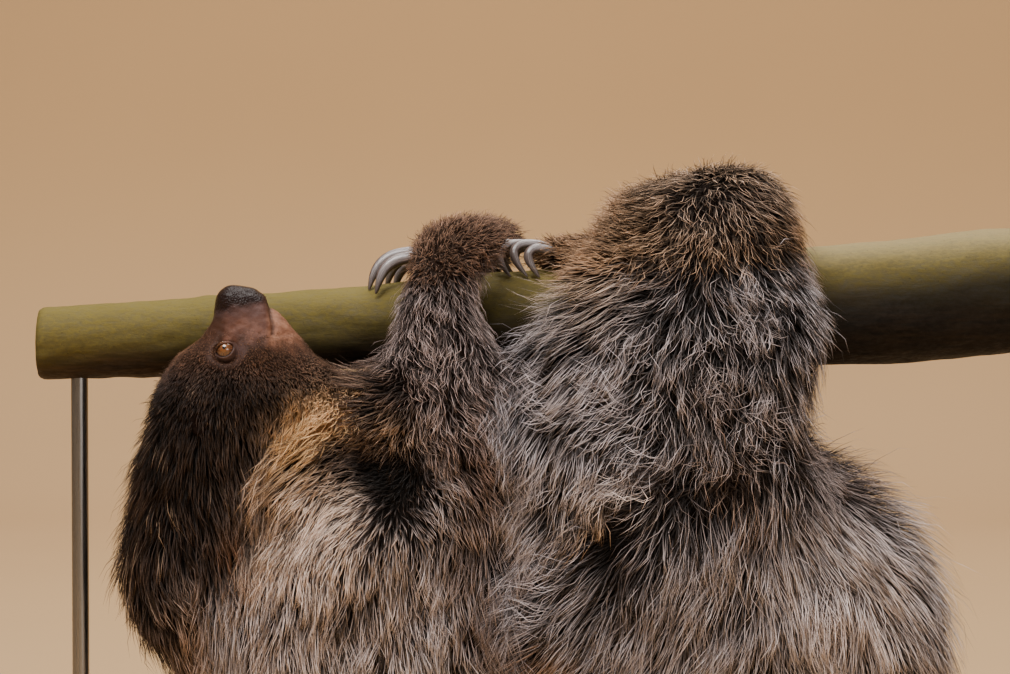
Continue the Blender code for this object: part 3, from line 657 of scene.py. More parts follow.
# ---------------------------------------------------------------------- skin
HEAD_Y = -0.066
MOUTH = ((-0.2125, 0.5140), (-0.2104, 0.5085), (-0.2086, 0.5023), (-0.2068, 0.4964),
         (-0.2072, 0.4904))
NOSTRIL = (-0.2268, 0.0062, 0.5172)       # x, distance from the middle, z
EYE = (-0.2410, 0.0250, 0.4787)           # x, distance from the middle, z
FRINGES = (                               # x, z, radius, extra depth in millimetres
    (0.232, 0.405, 0.032, 13.0), (0.264, 0.365, 0.030, 10.0), (0.275, 0.310, 0.034, 6.0),
    (0.046, 0.570, 0.026, 4.0), (0.018, 0.532, 0.028, 5.0), (-0.006, 0.480, 0.030, 4.0),
)
CREST = (-0.143, 0.446, 0.015, 33.0)      # x, z, radius, length in millimetres
HOLLOWS = (                               # x, z, radius; the coat in them is painted dark, as shade over darker fur
    (-0.1170, 0.3905, 0.0165), (0.0575, 0.3520, 0.0155), (0.1005, 0.3925, 0.0105),
)


FINE_SKIN = ((0.452, -0.165), (0.474, -0.180))      # above z and left of x the skin is finer


def flesh_mesh():
    """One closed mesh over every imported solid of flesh."""
    bm = bmesh.new()
    for name in FLESH + PLUGS:
        part = welded(name)
        for vert in part.verts:
            vert.co += vert.normal * 0.0006
        mesh = bpy.data.meshes.new(name)
        part.to_mesh(mesh)
        part.free()
        bm.from_mesh(mesh)
        bpy.data.meshes.remove(mesh)
    mesh = bpy.data.meshes.new("flesh")
    bm.to_mesh(mesh)
    bm.free()
    obj = bpy.data.objects.new("flesh", mesh)
    bpy.context.scene.collection.objects.link(obj)
    fuse = obj.modifiers.new("fuse", "REMESH")
    fuse.mode = "VOXEL"
    fuse.voxel_size = sizes().skin_grain
    soften = obj.modifiers.new("soften", "SMOOTH")
    soften.factor = 0.5
    soften.iterations = 4
    return settled(obj)


def flesh_tree():
    """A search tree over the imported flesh, and the index in FLESH of each face."""
    verts, faces, node_of = [], [], []
    for index, name in enumerate(FLESH):
        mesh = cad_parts[name].data
        start = len(verts)
        verts.extend(tuple(v.co) for v in mesh.vertices)
        for poly in mesh.polygons:
            faces.append([start + i for i in poly.vertices])
            node_of.append(index)
    return BVHTree.FromPolygons(verts, faces), node_of


def kind_of(name):
    """Body part without its side."""
    return name.replace("_right", "").replace("_left", "")


def open_folds(mesh, co, edges, owner):
    """Smooth the trunk, neck and limbs where the skin folds over itself."""
    kinds = np.array([kind_of(name) for name in FLESH])[owner]
    free = np.isin(kinds, ("trunk", "neck", "upper_arm", "thigh", "shank")).astype(float)
    for _ in range(4):
        no = normals(mesh)
        turn = 1.0 - np.sum(no * unit(relax(no, edges, 4)), axis=1)
        fold = relax(ease(0.004, 0.05, turn), edges, 8)[:, 0]
        co = relax(co, edges, 12, np.clip(4.0 * fold, 0, 1) * free)
        place(mesh, co)
    return co


def lie_of(co):
    """Direction along x and z, curl, length share and stand of the coat at each place."""
    rows = np.array(LIE)
    rows[:, 2:4] = unit(rows[:, 2:4])
    gap = (co[:, 0:1] - rows[:, 0]) ** 2 + (co[:, 2:3] - rows[:, 1]) ** 2
    weight = np.exp(-gap / LIE_REACH ** 2)
    spare = 0.02
    total = weight.sum(axis=1, keepdims=True) + spare
    return (weight @ rows[:, 2:] + spare * np.array((0.0, -1.0, 3.0, 1.1, 1.0))) / total


def past_edge(co):
    """Distance of each place behind the edge of the dark coat, less than 0 before it."""
    line = np.array(DARK_EDGE)
    far = polyline_distance(co[:, (0, 2)], DARK_EDGE)
    return far * np.sign(co[:, 0] - np.interp(co[:, 2], line[:, 1], line[:, 0]))


def dress(co, no, owner):
    """Coat fields at each vertex: depth, length, width, density, curl, stand, lie, marks."""
    rows = [DRESS[kind_of(name)] for name in FLESH]
    depth, length, width, density = np.array([r[:4] for r in rows], float)[owner].T.copy()
    mark = np.array([r[4] for r in rows], float)[owner]
    lie = lie_of(co)
    way = np.column_stack((lie[:, 0], np.zeros(len(co)), lie[:, 1]))
    curl, stand = lie[:, 2], lie[:, 4]
    length = length * lie[:, 3]
    x, y, z = co.T
    under, over = np.clip(-no[:, 2], 0, 1), np.clip(no[:, 2], 0, 1)
    kinds = np.array([kind_of(name) for name in FLESH])[owner]
    body = np.isin(kinds, ("trunk", "thigh", "upper_arm"))
    depth += np.where(body, 20.0 * under ** 2 - 8.0 * over ** 2, 0.0)
    length -= np.where(body, 16.0 * over, 0.0)

    # The dark coat ends along one edge, with a blond ruff behind it.
    head = np.isin(kinds, ("head", "nose"))
    front = head | np.isin(kinds, ("neck", "trunk", "upper_arm"))
    past = past_edge(co) + 0.004 * ripple(co, 0.030, 21) + 0.002 * ripple(co, 0.008, 22, 2)
    dark = ease(0.006, -0.006, past) * front * (x < -0.09)
    ruff = ease(-0.004, 0.004, past) * ease(0.050, 0.012, past) * ease(0.30, 0.36, z) * front
    mark = blend(mark, np.array((1.0, 0.0, 0.10, 0.0)), dark[:, None])
    mark = blend(mark, np.array((0.0, 0.9, 0.15, 0.2)), 0.8 * ruff[:, None])

    # Hair shortens up the face and stops at the bare muzzle.
    fur_z = z + 0.10 * np.clip(x + 0.2245, 0, 1)
    grow = ease(0.486, 0.395, fur_z)
    thick = 16.0 * ease(0.486, 0.405, fur_z) + 0.4 * ease(0.487, 0.478, fur_z)
    depth = np.where(head, thick, depth)
    length = np.where(head, 2.6 * ease(0.503, 0.490, fur_z) + 2.2 * ease(0.488, 0.474, fur_z)
                      + 30.0 * grow ** 1.3, length)
    width = np.where(head, 0.23 + 0.24 * ease(0.475, 0.450, fur_z) + 0.42 * grow, width)
    dense = ease(0.498, 0.478, fur_z) * (140.0 - 112.0 * ease(0.477, 0.43, fur_z))
    eye_gap = np.hypot(x - EYE[0], z - EYE[2])
    density = np.where(head, dense * (1 - 0.9 * bell(eye_gap, 0.0115)), density)
    length = np.where(head, length * (1 - 0.4 * bell(eye_gap, 0.0150)), length)
    density *= 1 + 0.6 * ruff
    width = width * (1 - 0.22 * ruff)
    warm = ease(0.445, 0.475, fur_z) * head
    mark[:, 0] -= 0.70 * warm * mark[:, 0]
    mark[:, 2] += 0.85 * warm * (1 - mark[:, 2])

    for px, pz, wide, high, strength, *aim in PATCHES:
        on = strength * np.exp(-((x - px) / wide) ** 2 - ((z - pz) / high) ** 2)
        on = np.clip(on * (1.15 + 0.45 * ripple(co, 0.022, 23)), 0, 1)[:, None]
        mark = blend(mark, np.array(aim), on)
    # The ruff stands up in a fluffy crest below the pole.
    crest_x, crest_z, radius, crest = CREST
    on = np.clip(1.6 * bell(np.hypot(x - crest_x, z - crest_z), radius), 0, 1) * ~head * (y < 0)
    depth = blend(depth, 4.0, on)
    length = blend(length, crest, on)
    stand = blend(stand, 0.17 * crest, on)
    # Thin long fringes stand out along some edges of the body.
    for px, pz, radius, extra in FRINGES:
        on = bell(np.hypot(x - px, z - pz), radius) * ~head
        depth += extra * on
        density *= 1.0 - 0.45 * on
        width = width * (1.0 - 0.22 * on)
    # In the hollows the skin sinks, the locks shorten and the coat is painted dark, as shade over
    # darker fur; round them the hair turns in a whorl.
    for hx, hz, radius in HOLLOWS:
        far = np.hypot(x - hx, (z - hz) * 0.85)
        dip = bell(far, radius) * (np.abs(y) > 0.05)
        dark = np.clip(1.5 * dip, 0, 1)[:, None]
        mark = blend(mark, np.array((1.0, 0.0, 0.0, 0.0)), dark)
        depth += 9.0 * dip
        length *= 1.0 - 0.40 * dip
        stand = stand * (1.0 - 0.75 * dip)
        whorl = bell(far, radius * 2.2) * (np.abs(y) > 0.05) * body
        way[:, 0] += 1.2 * whorl * (x - hx) / (far + 0.01)
        way[:, 2] += 1.2 * whorl * (z - hz) / (far + 0.01)

    # Hair parts along the belly and runs outwards before it falls.
    way[:, 1] += np.sign(y + 1e-6) * over * 0.9 * (kinds != "hand")
    way[:, 2] *= np.where(head, 1.0, 1.0 - 0.4 * over)
    # Toes lie along the pole.
    toe = (kinds == "foot") * ease(0.09, 0.03, x)
    way[:, 0] = way[:, 0] * (1 - toe) - toe
    way[:, 2] *= 1 - toe
    depth, length, stand = blend(depth, 1.0, toe), blend(length, 21.0, toe), blend(stand, 3.0, toe)
    width = width * (1 + 0.35 * toe)
    density = density * (1 + 1.2 * toe)
    mark = blend(mark, np.array((0.0, 0.58, 0.60, 0.0)), 0.9 * toe[:, None])
    s = sizes()
    return np.column_stack((
        depth * 0.001 * s.coat_depth, length * 0.001 * s.coat_length,
        width * 0.001 * s.coat_width, density * s.coat_density, curl * 0.001, stand, way, mark))


def polyline_distance(points, line):
    """Distance of each (x, z) to a line of (x, z) points."""
    best = np.full(len(points), 1e9)
    for a, b in zip(line, line[1:]):
        a, b = np.array(a), np.array(b)
        d = b - a
        t = np.clip(((points - a) @ d) / (d @ d), 0, 1)
        best = np.minimum(best, np.linalg.norm(points - (a + t[:, None] * d), axis=1))
    return best


FACE_FORMS = (     # from the eye: outwards is +y; height pressed in or out, and radius
    ((0.0, 0.0, 0.0), -0.0030, 0.0085),          # socket
    ((-0.010, -0.002, 0.006), 0.0014, 0.0060),   # brow
    ((0.022, 0.0, -0.002), 0.0014, 0.0100),      # cheek
    ((0.008, 0.0, 0.016), -0.0012, 0.0070),      # hollow beside the muzzle
)


def sculpt_face(co, no):
    """Nostrils, mouth, lips, brow and eye sockets pressed into the skin."""
    x, y, z = co.T
    off = 0.0026 * ease(0.500, 0.517, z)
    off += 0.0016 * bell(np.hypot(x + 0.2420, (z - 0.5185) * 1.2), 0.0055)
    off += 0.0013 * bell(np.hypot(x + 0.2185, (z - 0.5160) * 1.2), 0.0050)
    off += 0.0024 * ease(0.480, 0.496, z) * ease(-0.226, -0.240, x)
    line = polyline_distance(co[:, (0, 2)], MOUTH)
    near = ease(-0.30, -0.27, x) * ease(0.474, 0.484, z)
    off -= 0.0013 * bell(line, 0.0011) * near
    mouth_x, mouth_z = np.array(MOUTH[::-1]).T
    lip = x - np.interp(z, mouth_z, mouth_x)
    off += 0.0009 * bell(lip + 0.0045, 0.0030) * near * ease(0.522, 0.512, z)
    off += 0.0007 * bell(lip - 0.0055, 0.0035) * near * ease(0.522, 0.512, z)
    for side in (-1.0, 1.0):
        eye = np.array((EYE[0], HEAD_Y + side * (EYE[1] + 0.005), EYE[2]))
        for (sx, sy, sz), press, radius in FACE_FORMS:
            far = np.linalg.norm(co - (eye + (sx, sy * side, sz)), axis=1)
            off += press * bell(far, radius)
        hole = np.array((NOSTRIL[0], HEAD_Y + side * NOSTRIL[1], NOSTRIL[2]))
        gap = (co - hole) * (1.0, 0.8, 1.0)
        far = np.linalg.norm(gap, axis=1)
        off -= 0.0042 * bell(far, 0.0022)
        off += 0.0010 * bell(far - 0.0042, 0.0016)
    # Groove down the middle of the nose pad.
    off -= 0.0008 * bell(np.abs(y - HEAD_Y), 0.0011) * ease(0.512, 0.516, z)
    # Shallow wrinkles over the bridge of the muzzle.
    bare = ease(0.478, 0.490, z) * ease(0.518, 0.508, z)
    off += 0.00016 * bare * ripple(co * (1.0, 1.0, 1.7), 0.008, 31, 2)
    off += 0.00030 * bare * ripple(co, 0.016, 32, 2)
    return co + no * off[:, None]


def eye_spots(co):
    """Pink spot above the eye and grey skin at its inner corner, each 0 to 1."""
    x, z = co[:, 0] - EYE[0], co[:, 2] - EYE[2]
    pink = 0.8 * bell(np.hypot(x - 0.0006, (z - 0.0080) * 1.25), 0.0026)
    grey = 0.75 * bell(np.hypot(x - 0.0110, z * 0.75), 0.0040)
    grey = np.maximum(grey, 0.65 * ease(0.0195, 0.0290, z) * ease(0.0310, 0.0230, x))
    return np.column_stack((pink, grey * (1 - pink), pink * 0))


def face_zones(co, owner_head):
    """Bare skin, nose pad, pink chin and dimmed skin, each 0 to 1."""
    x, _, z = co.T
    edge = z + 0.10 * np.clip(x + 0.2245, 0, 1) + 0.0030 * ripple(co, 0.012, 12, 2)
    bare = ease(0.470, 0.490, edge) * owner_head
    for side in (-1.0, 1.0):
        eye = np.array((EYE[0], HEAD_Y + side * (EYE[1] + 0.003), EYE[2]))
        far = np.linalg.norm((co - eye) * (0.9, 1.0, 1.1), axis=1)
        bare = np.maximum(bare, ease(0.0185, 0.0130, far) * owner_head)
    tip = z - 0.25 * (x + 0.2307) + 0.0012 * ripple(co, 0.009, 13, 2)
    nose = ease(0.5068, 0.5146, tip)
    chin = ease(-0.2135, -0.2060, x) * owner_head
    dim = 0.75 * ease(-0.238, -0.247, x) + 0.25 * ease(0.500, 0.510, tip) * (1 - chin)
    dim = np.maximum(dim, 0.85 * ease(0.494, 0.476, edge))
    line = polyline_distance(co[:, (0, 2)], MOUTH)
    dim = np.maximum(dim, 0.8 * bell(line, 0.0012) * ease(0.480, 0.488, z))
    return np.column_stack((bare, nose * bare, chin, np.clip(dim, 0, 1)))


class SLOTH_OT_skin(bpy.types.Operator):
    """One skin over all the flesh, inside the coat's depth"""
    bl_idname = "sloth.skin"
    bl_label = "Skin"

    def execute(self, context):
        mesh = flesh_mesh()
        co, no, edges = positions(mesh), normals(mesh), edge_pairs(mesh)
        tree, node_of = flesh_tree()
        for _ in range(2):
            back = np.array([tuple(tree.find_nearest(Vector(p))[0]) for p in co]) - co
            co = co + relax(back, edges, 6)
        place(mesh, co)
        no = normals(mesh)
        owner = np.array([node_of[tree.find_nearest(Vector(p))[2]] for p in co])
        fields = dress(co, no, owner)
        fields = np.column_stack((relax(fields[:, :1], edges, 24), relax(fields[:, 1:6], edges, 10),
                                  relax(fields[:, 6:9], edges, 14), relax(fields[:, 9:], edges, 4)))
        steps = 8
        for _ in range(steps):
            co = co - normals(mesh) * (fields[:, :1] / steps)
            hold = np.clip(fields[:, 0] / 0.006, 0, 1)
            co = relax(co, edges, 1, hold)
            place(mesh, co)
        co = open_folds(mesh, co, edges, owner)
        for name, column in (("depth", 0), ("length", 1), ("width", 2), ("density", 3), ("curl", 4),
                             ("stand", 5)):
            put_attribute(mesh, name, "FLOAT", fields[:, column])
        put_attribute(mesh, "way", "FLOAT_VECTOR", fields[:, 6:9])
        put_attribute(mesh, "mark", "FLOAT_COLOR", np.clip(fields[:, 9:], 0, 1))
        on_head = np.isin(owner, (FLESH.index("head"), FLESH.index("nose"))).astype(float)
        head = relax(on_head, edges, 4)
        put_attribute(mesh, "head", "FLOAT", head)
        put_attribute(mesh, "owner", "FLOAT", owner)

        bm = bmesh.new()
        bm.from_mesh(mesh)
        for low, right in FINE_SKIN:
            split = [e for e in bm.edges
                     if all(v.co.z > low and v.co.x < right and v.co.y < 0.0 for v in e.verts)]
            bmesh.ops.subdivide_edges(bm, edges=split, cuts=1, use_grid_fill=True)
        bmesh.ops.triangulate(bm, faces=[f for f in bm.faces if len(f.verts) > 4])
        bm.to_mesh(mesh)
        bm.free()
        co, edges = positions(mesh), edge_pairs(mesh)
        head = get_attribute(mesh, "head", "FLOAT")[:, 0]
        fine = ease(0.450, 0.456, co[:, 2]) * (head > 0.2)
        co = relax(co, edges, 4, fine)
        place(mesh, co)
        for _ in range(2):
            sculpted = sculpt_face(co, normals(mesh))
            co = co + (sculpted - co) * 0.5 * (head > 0.5)[:, None]
            place(mesh, co)
        put_attribute(mesh, "face", "FLOAT_COLOR", face_zones(co, (head > 0.5).astype(float)))
        put_attribute(mesh, "spot", "FLOAT_VECTOR", eye_spots(co))
        mesh.materials.clear()
        mesh.materials.append(skin_material())
        new_piece("skin", mesh, "coat_trunk", *FLESH)
        return {"FINISHED"}


# ---------------------------------------------------------------------- face
def skin_tree():
    """A search tree over the finished skin."""
    mesh = bpy.data.objects["skin"].data
    return BVHTree.FromPolygons([v.co for v in mesh.vertices],
                                [p.vertices for p in mesh.polygons])


def eye_frame(side):
    """Centre of an eye, the long way of its opening, the way up, and outwards."""
    centre = Vector((EYE[0], HEAD_Y + side * EYE[1], EYE[2]))
    out = Vector((-0.16, side, 0.16)).normalized()
    across = Vector((1.0, 0.0, 0.42))
    across = (across - out * across.dot(out)).normalized()
    up = across.cross(out) * side
    return centre, across, up.normalized(), out


def eye_material():
    """Amber iris, small pupil and a clear wet coat."""
    mat, net, shader = new_material("eye")
    tone = shades()
    radius, angle, _ = net.stored("polar")
    place_on = net.add("ShaderNodeCombineXYZ",
                       links={0: net.part(angle, 14.0), 1: net.part(radius, 3.0)})
    spokes = net.add("ShaderNodeTexNoise", noise_dimensions="2D", links={"Vector": place_on},
                     values={"Scale": 1.0, "Detail": 3.0})
    deep = net.times(tone.iris, (0.28, 0.20, 0.16))
    iris = net.mix(net.step(spokes, 0.35, 0.70), deep, tone.iris)
    iris = net.mix(net.step(radius, 0.74, 0.98), iris, deep)
    glow = net.times(tone.iris, (1.5, 1.6, 2.0))
    iris = net.mix(net.part(net.step(radius, 0.62, 0.30), 0.55), iris, glow)
    iris = net.mix(net.step(radius, 0.22, 0.16), iris, (0.004, 0.003, 0.003))
    base = net.mix(net.step(radius, 1.0, 1.10), iris, (0.040, 0.022, 0.016))
    wire(net, shader, Base_Color=base, Roughness=0.22, Coat_Weight=1.0, Coat_Roughness=0.02,
         Specular_IOR_Level=0.5)
    return mat


def lid_material():
    """Bare grey-brown lids with fine creases."""
    mat, net, shader = new_material("eyelid")
    tone = shades()
    ring = net.stored("ring")
    spot = net.stored("spot")
    fine = net.noise(900.0, 3.0, 0.6)
    lid = net.mix(ring[1], tone.lid_brown, tone.lid)
    lid = net.mix(net.step(fine, 0.40, 0.70), lid, net.times(lid, (1.5, 1.4, 1.4)))
    rim = net.mix(net.step(ring[0], 0.02, 0.16), (0.016, 0.007, 0.006), lid)
    fur = net.times(tone.muzzle, (0.30, 0.28, 0.24))
    base = net.mix(net.step(ring[0], 0.46, 0.66), rim, fur)
    base = net.mix(spot[0], base, tone.flush)
    base = net.mix(spot[1], base, tone.bruise)
    wire(net, shader, Base_Color=base, Roughness=0.48, Specular_IOR_Level=0.28,
         Normal=bump(net, fine, 0.0004, 0.6))
    return mat


def make_eye(side, word):
    """An eyeball with a raised clear front."""
    centre, across, up, out = eye_frame(side)
    radius = sizes().eye_radius - 0.0002
    out = (out + across * 0.10 + up * 0.10).normalized()
    across = (across - out * across.dot(out)).normalized()
    up = (up - out * up.dot(out) - across * up.dot(across)).normalized()
    bm = bmesh.new()
    rings, count = 26, 40
    iris = 0.0064
    polar = []
    rows = []
    for i in range(rings + 1):
        lat = math.pi * i / rings
        row = []
        for j in range(1 if i in (0, rings) else count):
            lon = TAU * j / count
            flat = radius * math.sin(lat)
            rise = radius * math.cos(lat)
            if rise > 0:
                rise += 0.0006 * math.exp(-(flat / 0.0045) ** 2)
            p = centre + across * (flat * math.cos(lon)) + up * (flat * math.sin(lon)) + out * rise
            row.append(bm.verts.new(p))
            polar.append((flat / iris if rise > 0 else 3.0, lon, 0.0))
        rows.append(row)
    for a, b in zip(rows, rows[1:]):
        for j in range(count):
            k = (j + 1) % count
            if len(a) == 1:
                bm.faces.new((a[0], b[j], b[k]))
            elif len(b) == 1:
                bm.faces.new((a[j], b[0], a[k]))
            else:
                bm.faces.new((a[j], b[j], b[k], a[k]))
    mesh = mesh_from(bm, "eyeball_" + word)
    put_attribute(mesh, "polar", "FLOAT_VECTOR", np.array(polar))
    return mesh


def make_lids(side, word, tree):
    """Upper and lower lid as one ring of skin round the opening."""
    centre, across, up, out = eye_frame(side)
    radius = sizes().eye_radius
    bm = bmesh.new()
    count = 56
    levels = (-0.16, 0.0, 0.05, 0.12, 0.22, 0.32, 0.42, 0.52, 0.62, 0.74, 0.86, 1.0)
    rings, ring_of = [], []
    for level in levels:
        row = []
        for j in range(count):
            a = TAU * j / count
            ca, sa = math.cos(a), math.sin(a)
            pinch = 1.0 - 0.16 * ca * ca
            open_u = 0.0070 * ca
            open_v = (0.0039 * (1 + 0.22 * ca) if sa > 0 else 0.0053) * sa * pinch
            rim_u, rim_v = 0.0108 * ca, (0.0072 if sa > 0 else 0.0106) * sa
            t = max(level, 0.0)
            u = open_u + (rim_u - open_u) * t
            v = open_v + (rim_v - open_v) * t
            if level < 0:
                u *= 0.97
                v *= 0.97
            flat = math.hypot(u, v)
            ball = math.sqrt(max((radius + 0.0003) ** 2 - flat * flat, 1e-8))
            roll = 0.0011 * math.sin(min(level / 0.24, 1.0) * math.pi * 0.5) if level > 0 else 0.0
            over = ball + roll if level >= 0 else ball - 0.0008
            start = centre + across * u + up * v + out * 0.03
            hit = tree.ray_cast(start, -out, 0.06)
            skin_w = (hit[0] - centre).dot(out) if hit[0] else over
            blend = float(ease(0.20, 0.72, level))
            w = over * (1 - blend) + (skin_w + 0.0010 * (1 - level)) * blend
            w -= 0.0022 * float(ease(0.58, 1.0, level))
            w -= 0.0004 * math.exp(-((level - 0.40) / 0.05) ** 2)
            w -= 0.0004 * math.exp(-((level - 0.64) / 0.05) ** 2)
            row.append(bm.verts.new(centre + across * u + up * v + out * w))
            ring_of.append((max(level, 0.0), min(max(0.35 - 0.75 * sa - 0.25 * ca, 0.0), 1.0), 0.0))
        rings.append(row)
    bridge(bm, rings)
    mesh = bpy.data.meshes.new("eyelid_" + word)
    bm.normal_update()
    if sum(f.normal.dot(out) for f in bm.faces) < 0:
        bmesh.ops.reverse_faces(bm, faces=bm.faces)
    bm.to_mesh(mesh)
    bm.free()
    put_attribute(mesh, "ring", "FLOAT_VECTOR", np.array(ring_of))
    put_attribute(mesh, "spot", "FLOAT_VECTOR", eye_spots(positions(mesh)))
    return mesh


def ear_material():
    """Thin dark skin of the ears."""
    mat, net, shader = new_material("ear")
    fine = net.noise(500.0, 4.0, 0.6)
    base = net.mix(net.step(fine, 0.35, 0.70), (0.004, 0.002, 0.0015), (0.012, 0.006, 0.004))
    wire(net, shader, Base_Color=base, Roughness=0.80, Specular_IOR_Level=0.06,
         Normal=bump(net, fine, 0.0005, 0.6))
    return mat


def make_ear(side, word):
    """A small rounded ear with a hollow face and a rolled rim."""
    low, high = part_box("ear_" + word)
    centre = (Vector(low) + Vector(high)) / 2 - Vector((0, 0.0085 * side, 0))
    half = (Vector(high) - Vector(low)) / 2 * 0.92
    bm = bmesh.new()
    bmesh.ops.create_uvsphere(bm, u_segments=28, v_segments=18, radius=1.0)
    for vert in bm.verts:
        p = vert.co.copy()
        facing = p.y * side
        flat = math.hypot(p.x, p.z)
        y = p.y * half.y
        if facing > 0:
            y -= side * half.y * 1.15 * math.exp(-(flat / 0.62) ** 2) * facing
        wave = 1.0 + 0.05 * math.sin(5 * math.atan2(p.z, p.x))
        vert.co = centre + Vector((p.x * half.x * wave, y * 0.8, p.z * half.z * wave))
    return mesh_from(bm, "ear_" + word)


class SLOTH_OT_face(bpy.types.Operator):
    """Eyes, lids and ears"""
    bl_idname = "sloth.face"
    bl_label = "Eyes, lids and ears"

    def execute(self, context):
        tree = skin_tree()
        ball, lid, ear = eye_material(), lid_material(), ear_material()
        for side, word in ((-1.0, "right"), (1.0, "left")):
            mesh = make_eye(side, word)
            mesh.materials.append(ball)
            new_piece("eyeball_" + word, mesh, "eye", "eye_" + word)
            mesh = make_lids(side, word, tree)
            mesh.materials.append(lid)
            new_piece("eyelid_" + word, mesh, "coat_head")
            mesh = make_ear(side, word)
            mesh.materials.append(ear)
            new_piece("pinna_" + word, mesh, "ear_skin", "ear_" + word)
        return {"FINISHED"}


# --------------------------------------------------------------------- claws
FLAT_ANGLE = math.radians(2.0)      # triangles this flat are joined before smoothing


def claw_material():
    """Smooth grey horn with long fine lines, paler along the ridge and brown at the edge, with
    painted shade on the side turned away from the light.
    """
    mat, net, shader = new_material("claw")
    tone = shades()
    along, facing_light, _ = net.stored("claw")
    place_on = net.add("ShaderNodeCombineXYZ",
                       links={0: net.part(along, 2.0), 1: net.part(facing_light, 16.0)})
    lines = net.add("ShaderNodeTexNoise", links={"Vector": place_on},
                    values={"Scale": 1.0, "Detail": 3.0, "Roughness": 0.6})
    base = net.mix(net.step(lines, 0.35, 0.72), tone.claw, tone.claw_light)
    dark = net.times(tone.claw, (0.34, 0.22, 0.15))
    base = net.mix(net.step(along, 0.18, 0.02), base, dark)
    base = net.mix(net.part(net.step(along, 0.70, 1.0), 0.75), base, dark)
    # Painted shade: the side of each claw that faces down and away from the light is darkened.
    base = net.mix(net.part(net.step(facing_light, 0.42, 0.12), 0.8), base, dark)
    base = net.mix(net.part(net.step(facing_light, 0.82, 0.96), 0.75), base, (0.085, 0.046, 0.030))
    wire(net, shader, Base_Color=base, Roughness=net.step(lines, 0.3, 0.7, 0.24, 0.38),
         Coat_Weight=0.3, Coat_Roughness=0.15, Normal=bump(net, lines, 0.0003, 0.5))
    return mat


class SLOTH_OT_claws(bpy.types.Operator):
    """Every claw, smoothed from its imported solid"""
    bl_idname = "sloth.claws"
    bl_label = "Claws"

    def execute(self, context):
        mat = claw_material()
        for name in sorted(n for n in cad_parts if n.startswith("claw_")):
            mesh = bpy.data.meshes.new(name)
            bm = welded(name)
            bmesh.ops.dissolve_limit(bm, angle_limit=FLAT_ANGLE, verts=bm.verts, edges=bm.edges)
            bm.to_mesh(mesh)
            bm.free()
            obj = bpy.data.objects.new(name + "_form", mesh)
            context.scene.collection.objects.link(obj)
            step = obj.modifiers.new("smooth", "SUBSURF")
            step.levels = 2
            step.render_levels = 2
            mesh = settled(obj)
            mesh.name = name
            co = positions(mesh)
            root = co[np.argmax(co[:, 0])]
            far = np.linalg.norm(co - root, axis=1)
            along = far / far.max()
            no = normals(mesh)
            # How far each face turns up and to the left, towards the light; it sets the painted
            # shade and the brown edge.
            toward_light = 0.5 + 0.5 * (no[:, 2] * 0.6 - no[:, 0] * 0.8)
            put_attribute(mesh, "claw", "FLOAT_VECTOR",
                          np.column_stack((along, np.clip(toward_light, 0, 1), along * 0)))
            mesh.materials.clear()
            mesh.materials.append(mat)
            new_piece(name.replace("claw_", "horn_"), mesh, "claw_horn", name)
        return {"FINISHED"}


# ---------------------------------------------------------------------- coat
SHORT_LOCK = 0.026          # shorter guard locks are drawn with fewer rings
BALD = 0.0015               # no locks where the coat is shorter
WAVY = (0.0025, 0.0045)     # curl between which locks turn from smooth to wavy
FAR_SHARE = 0.86            # density on the side away from the camera
UNDER_SHARE, GUARD_SHARE = 0.37, 0.63
BAKE_GRID = 340             # squares along one side of the bake map
BAKE_SQUARE = 0.0027        # size of one lock's patch on it
GATHERS = ((120, 0.030, 0.45), (14, 0.016, 1.0))    # one leader in so many, reach, share


def hollow_shade_share(points):
    """How far each place lies inside a hollow, 0 to 1; it sets the painted shade there."""
    share = np.zeros(len(points))
    for x, z, radius in HOLLOWS:
        far = np.hypot(points[:, 0] - x, (points[:, 2] - z) * 0.85)
        share = np.maximum(share, ease(1.25 * radius, 0.35 * radius, far))
    return share


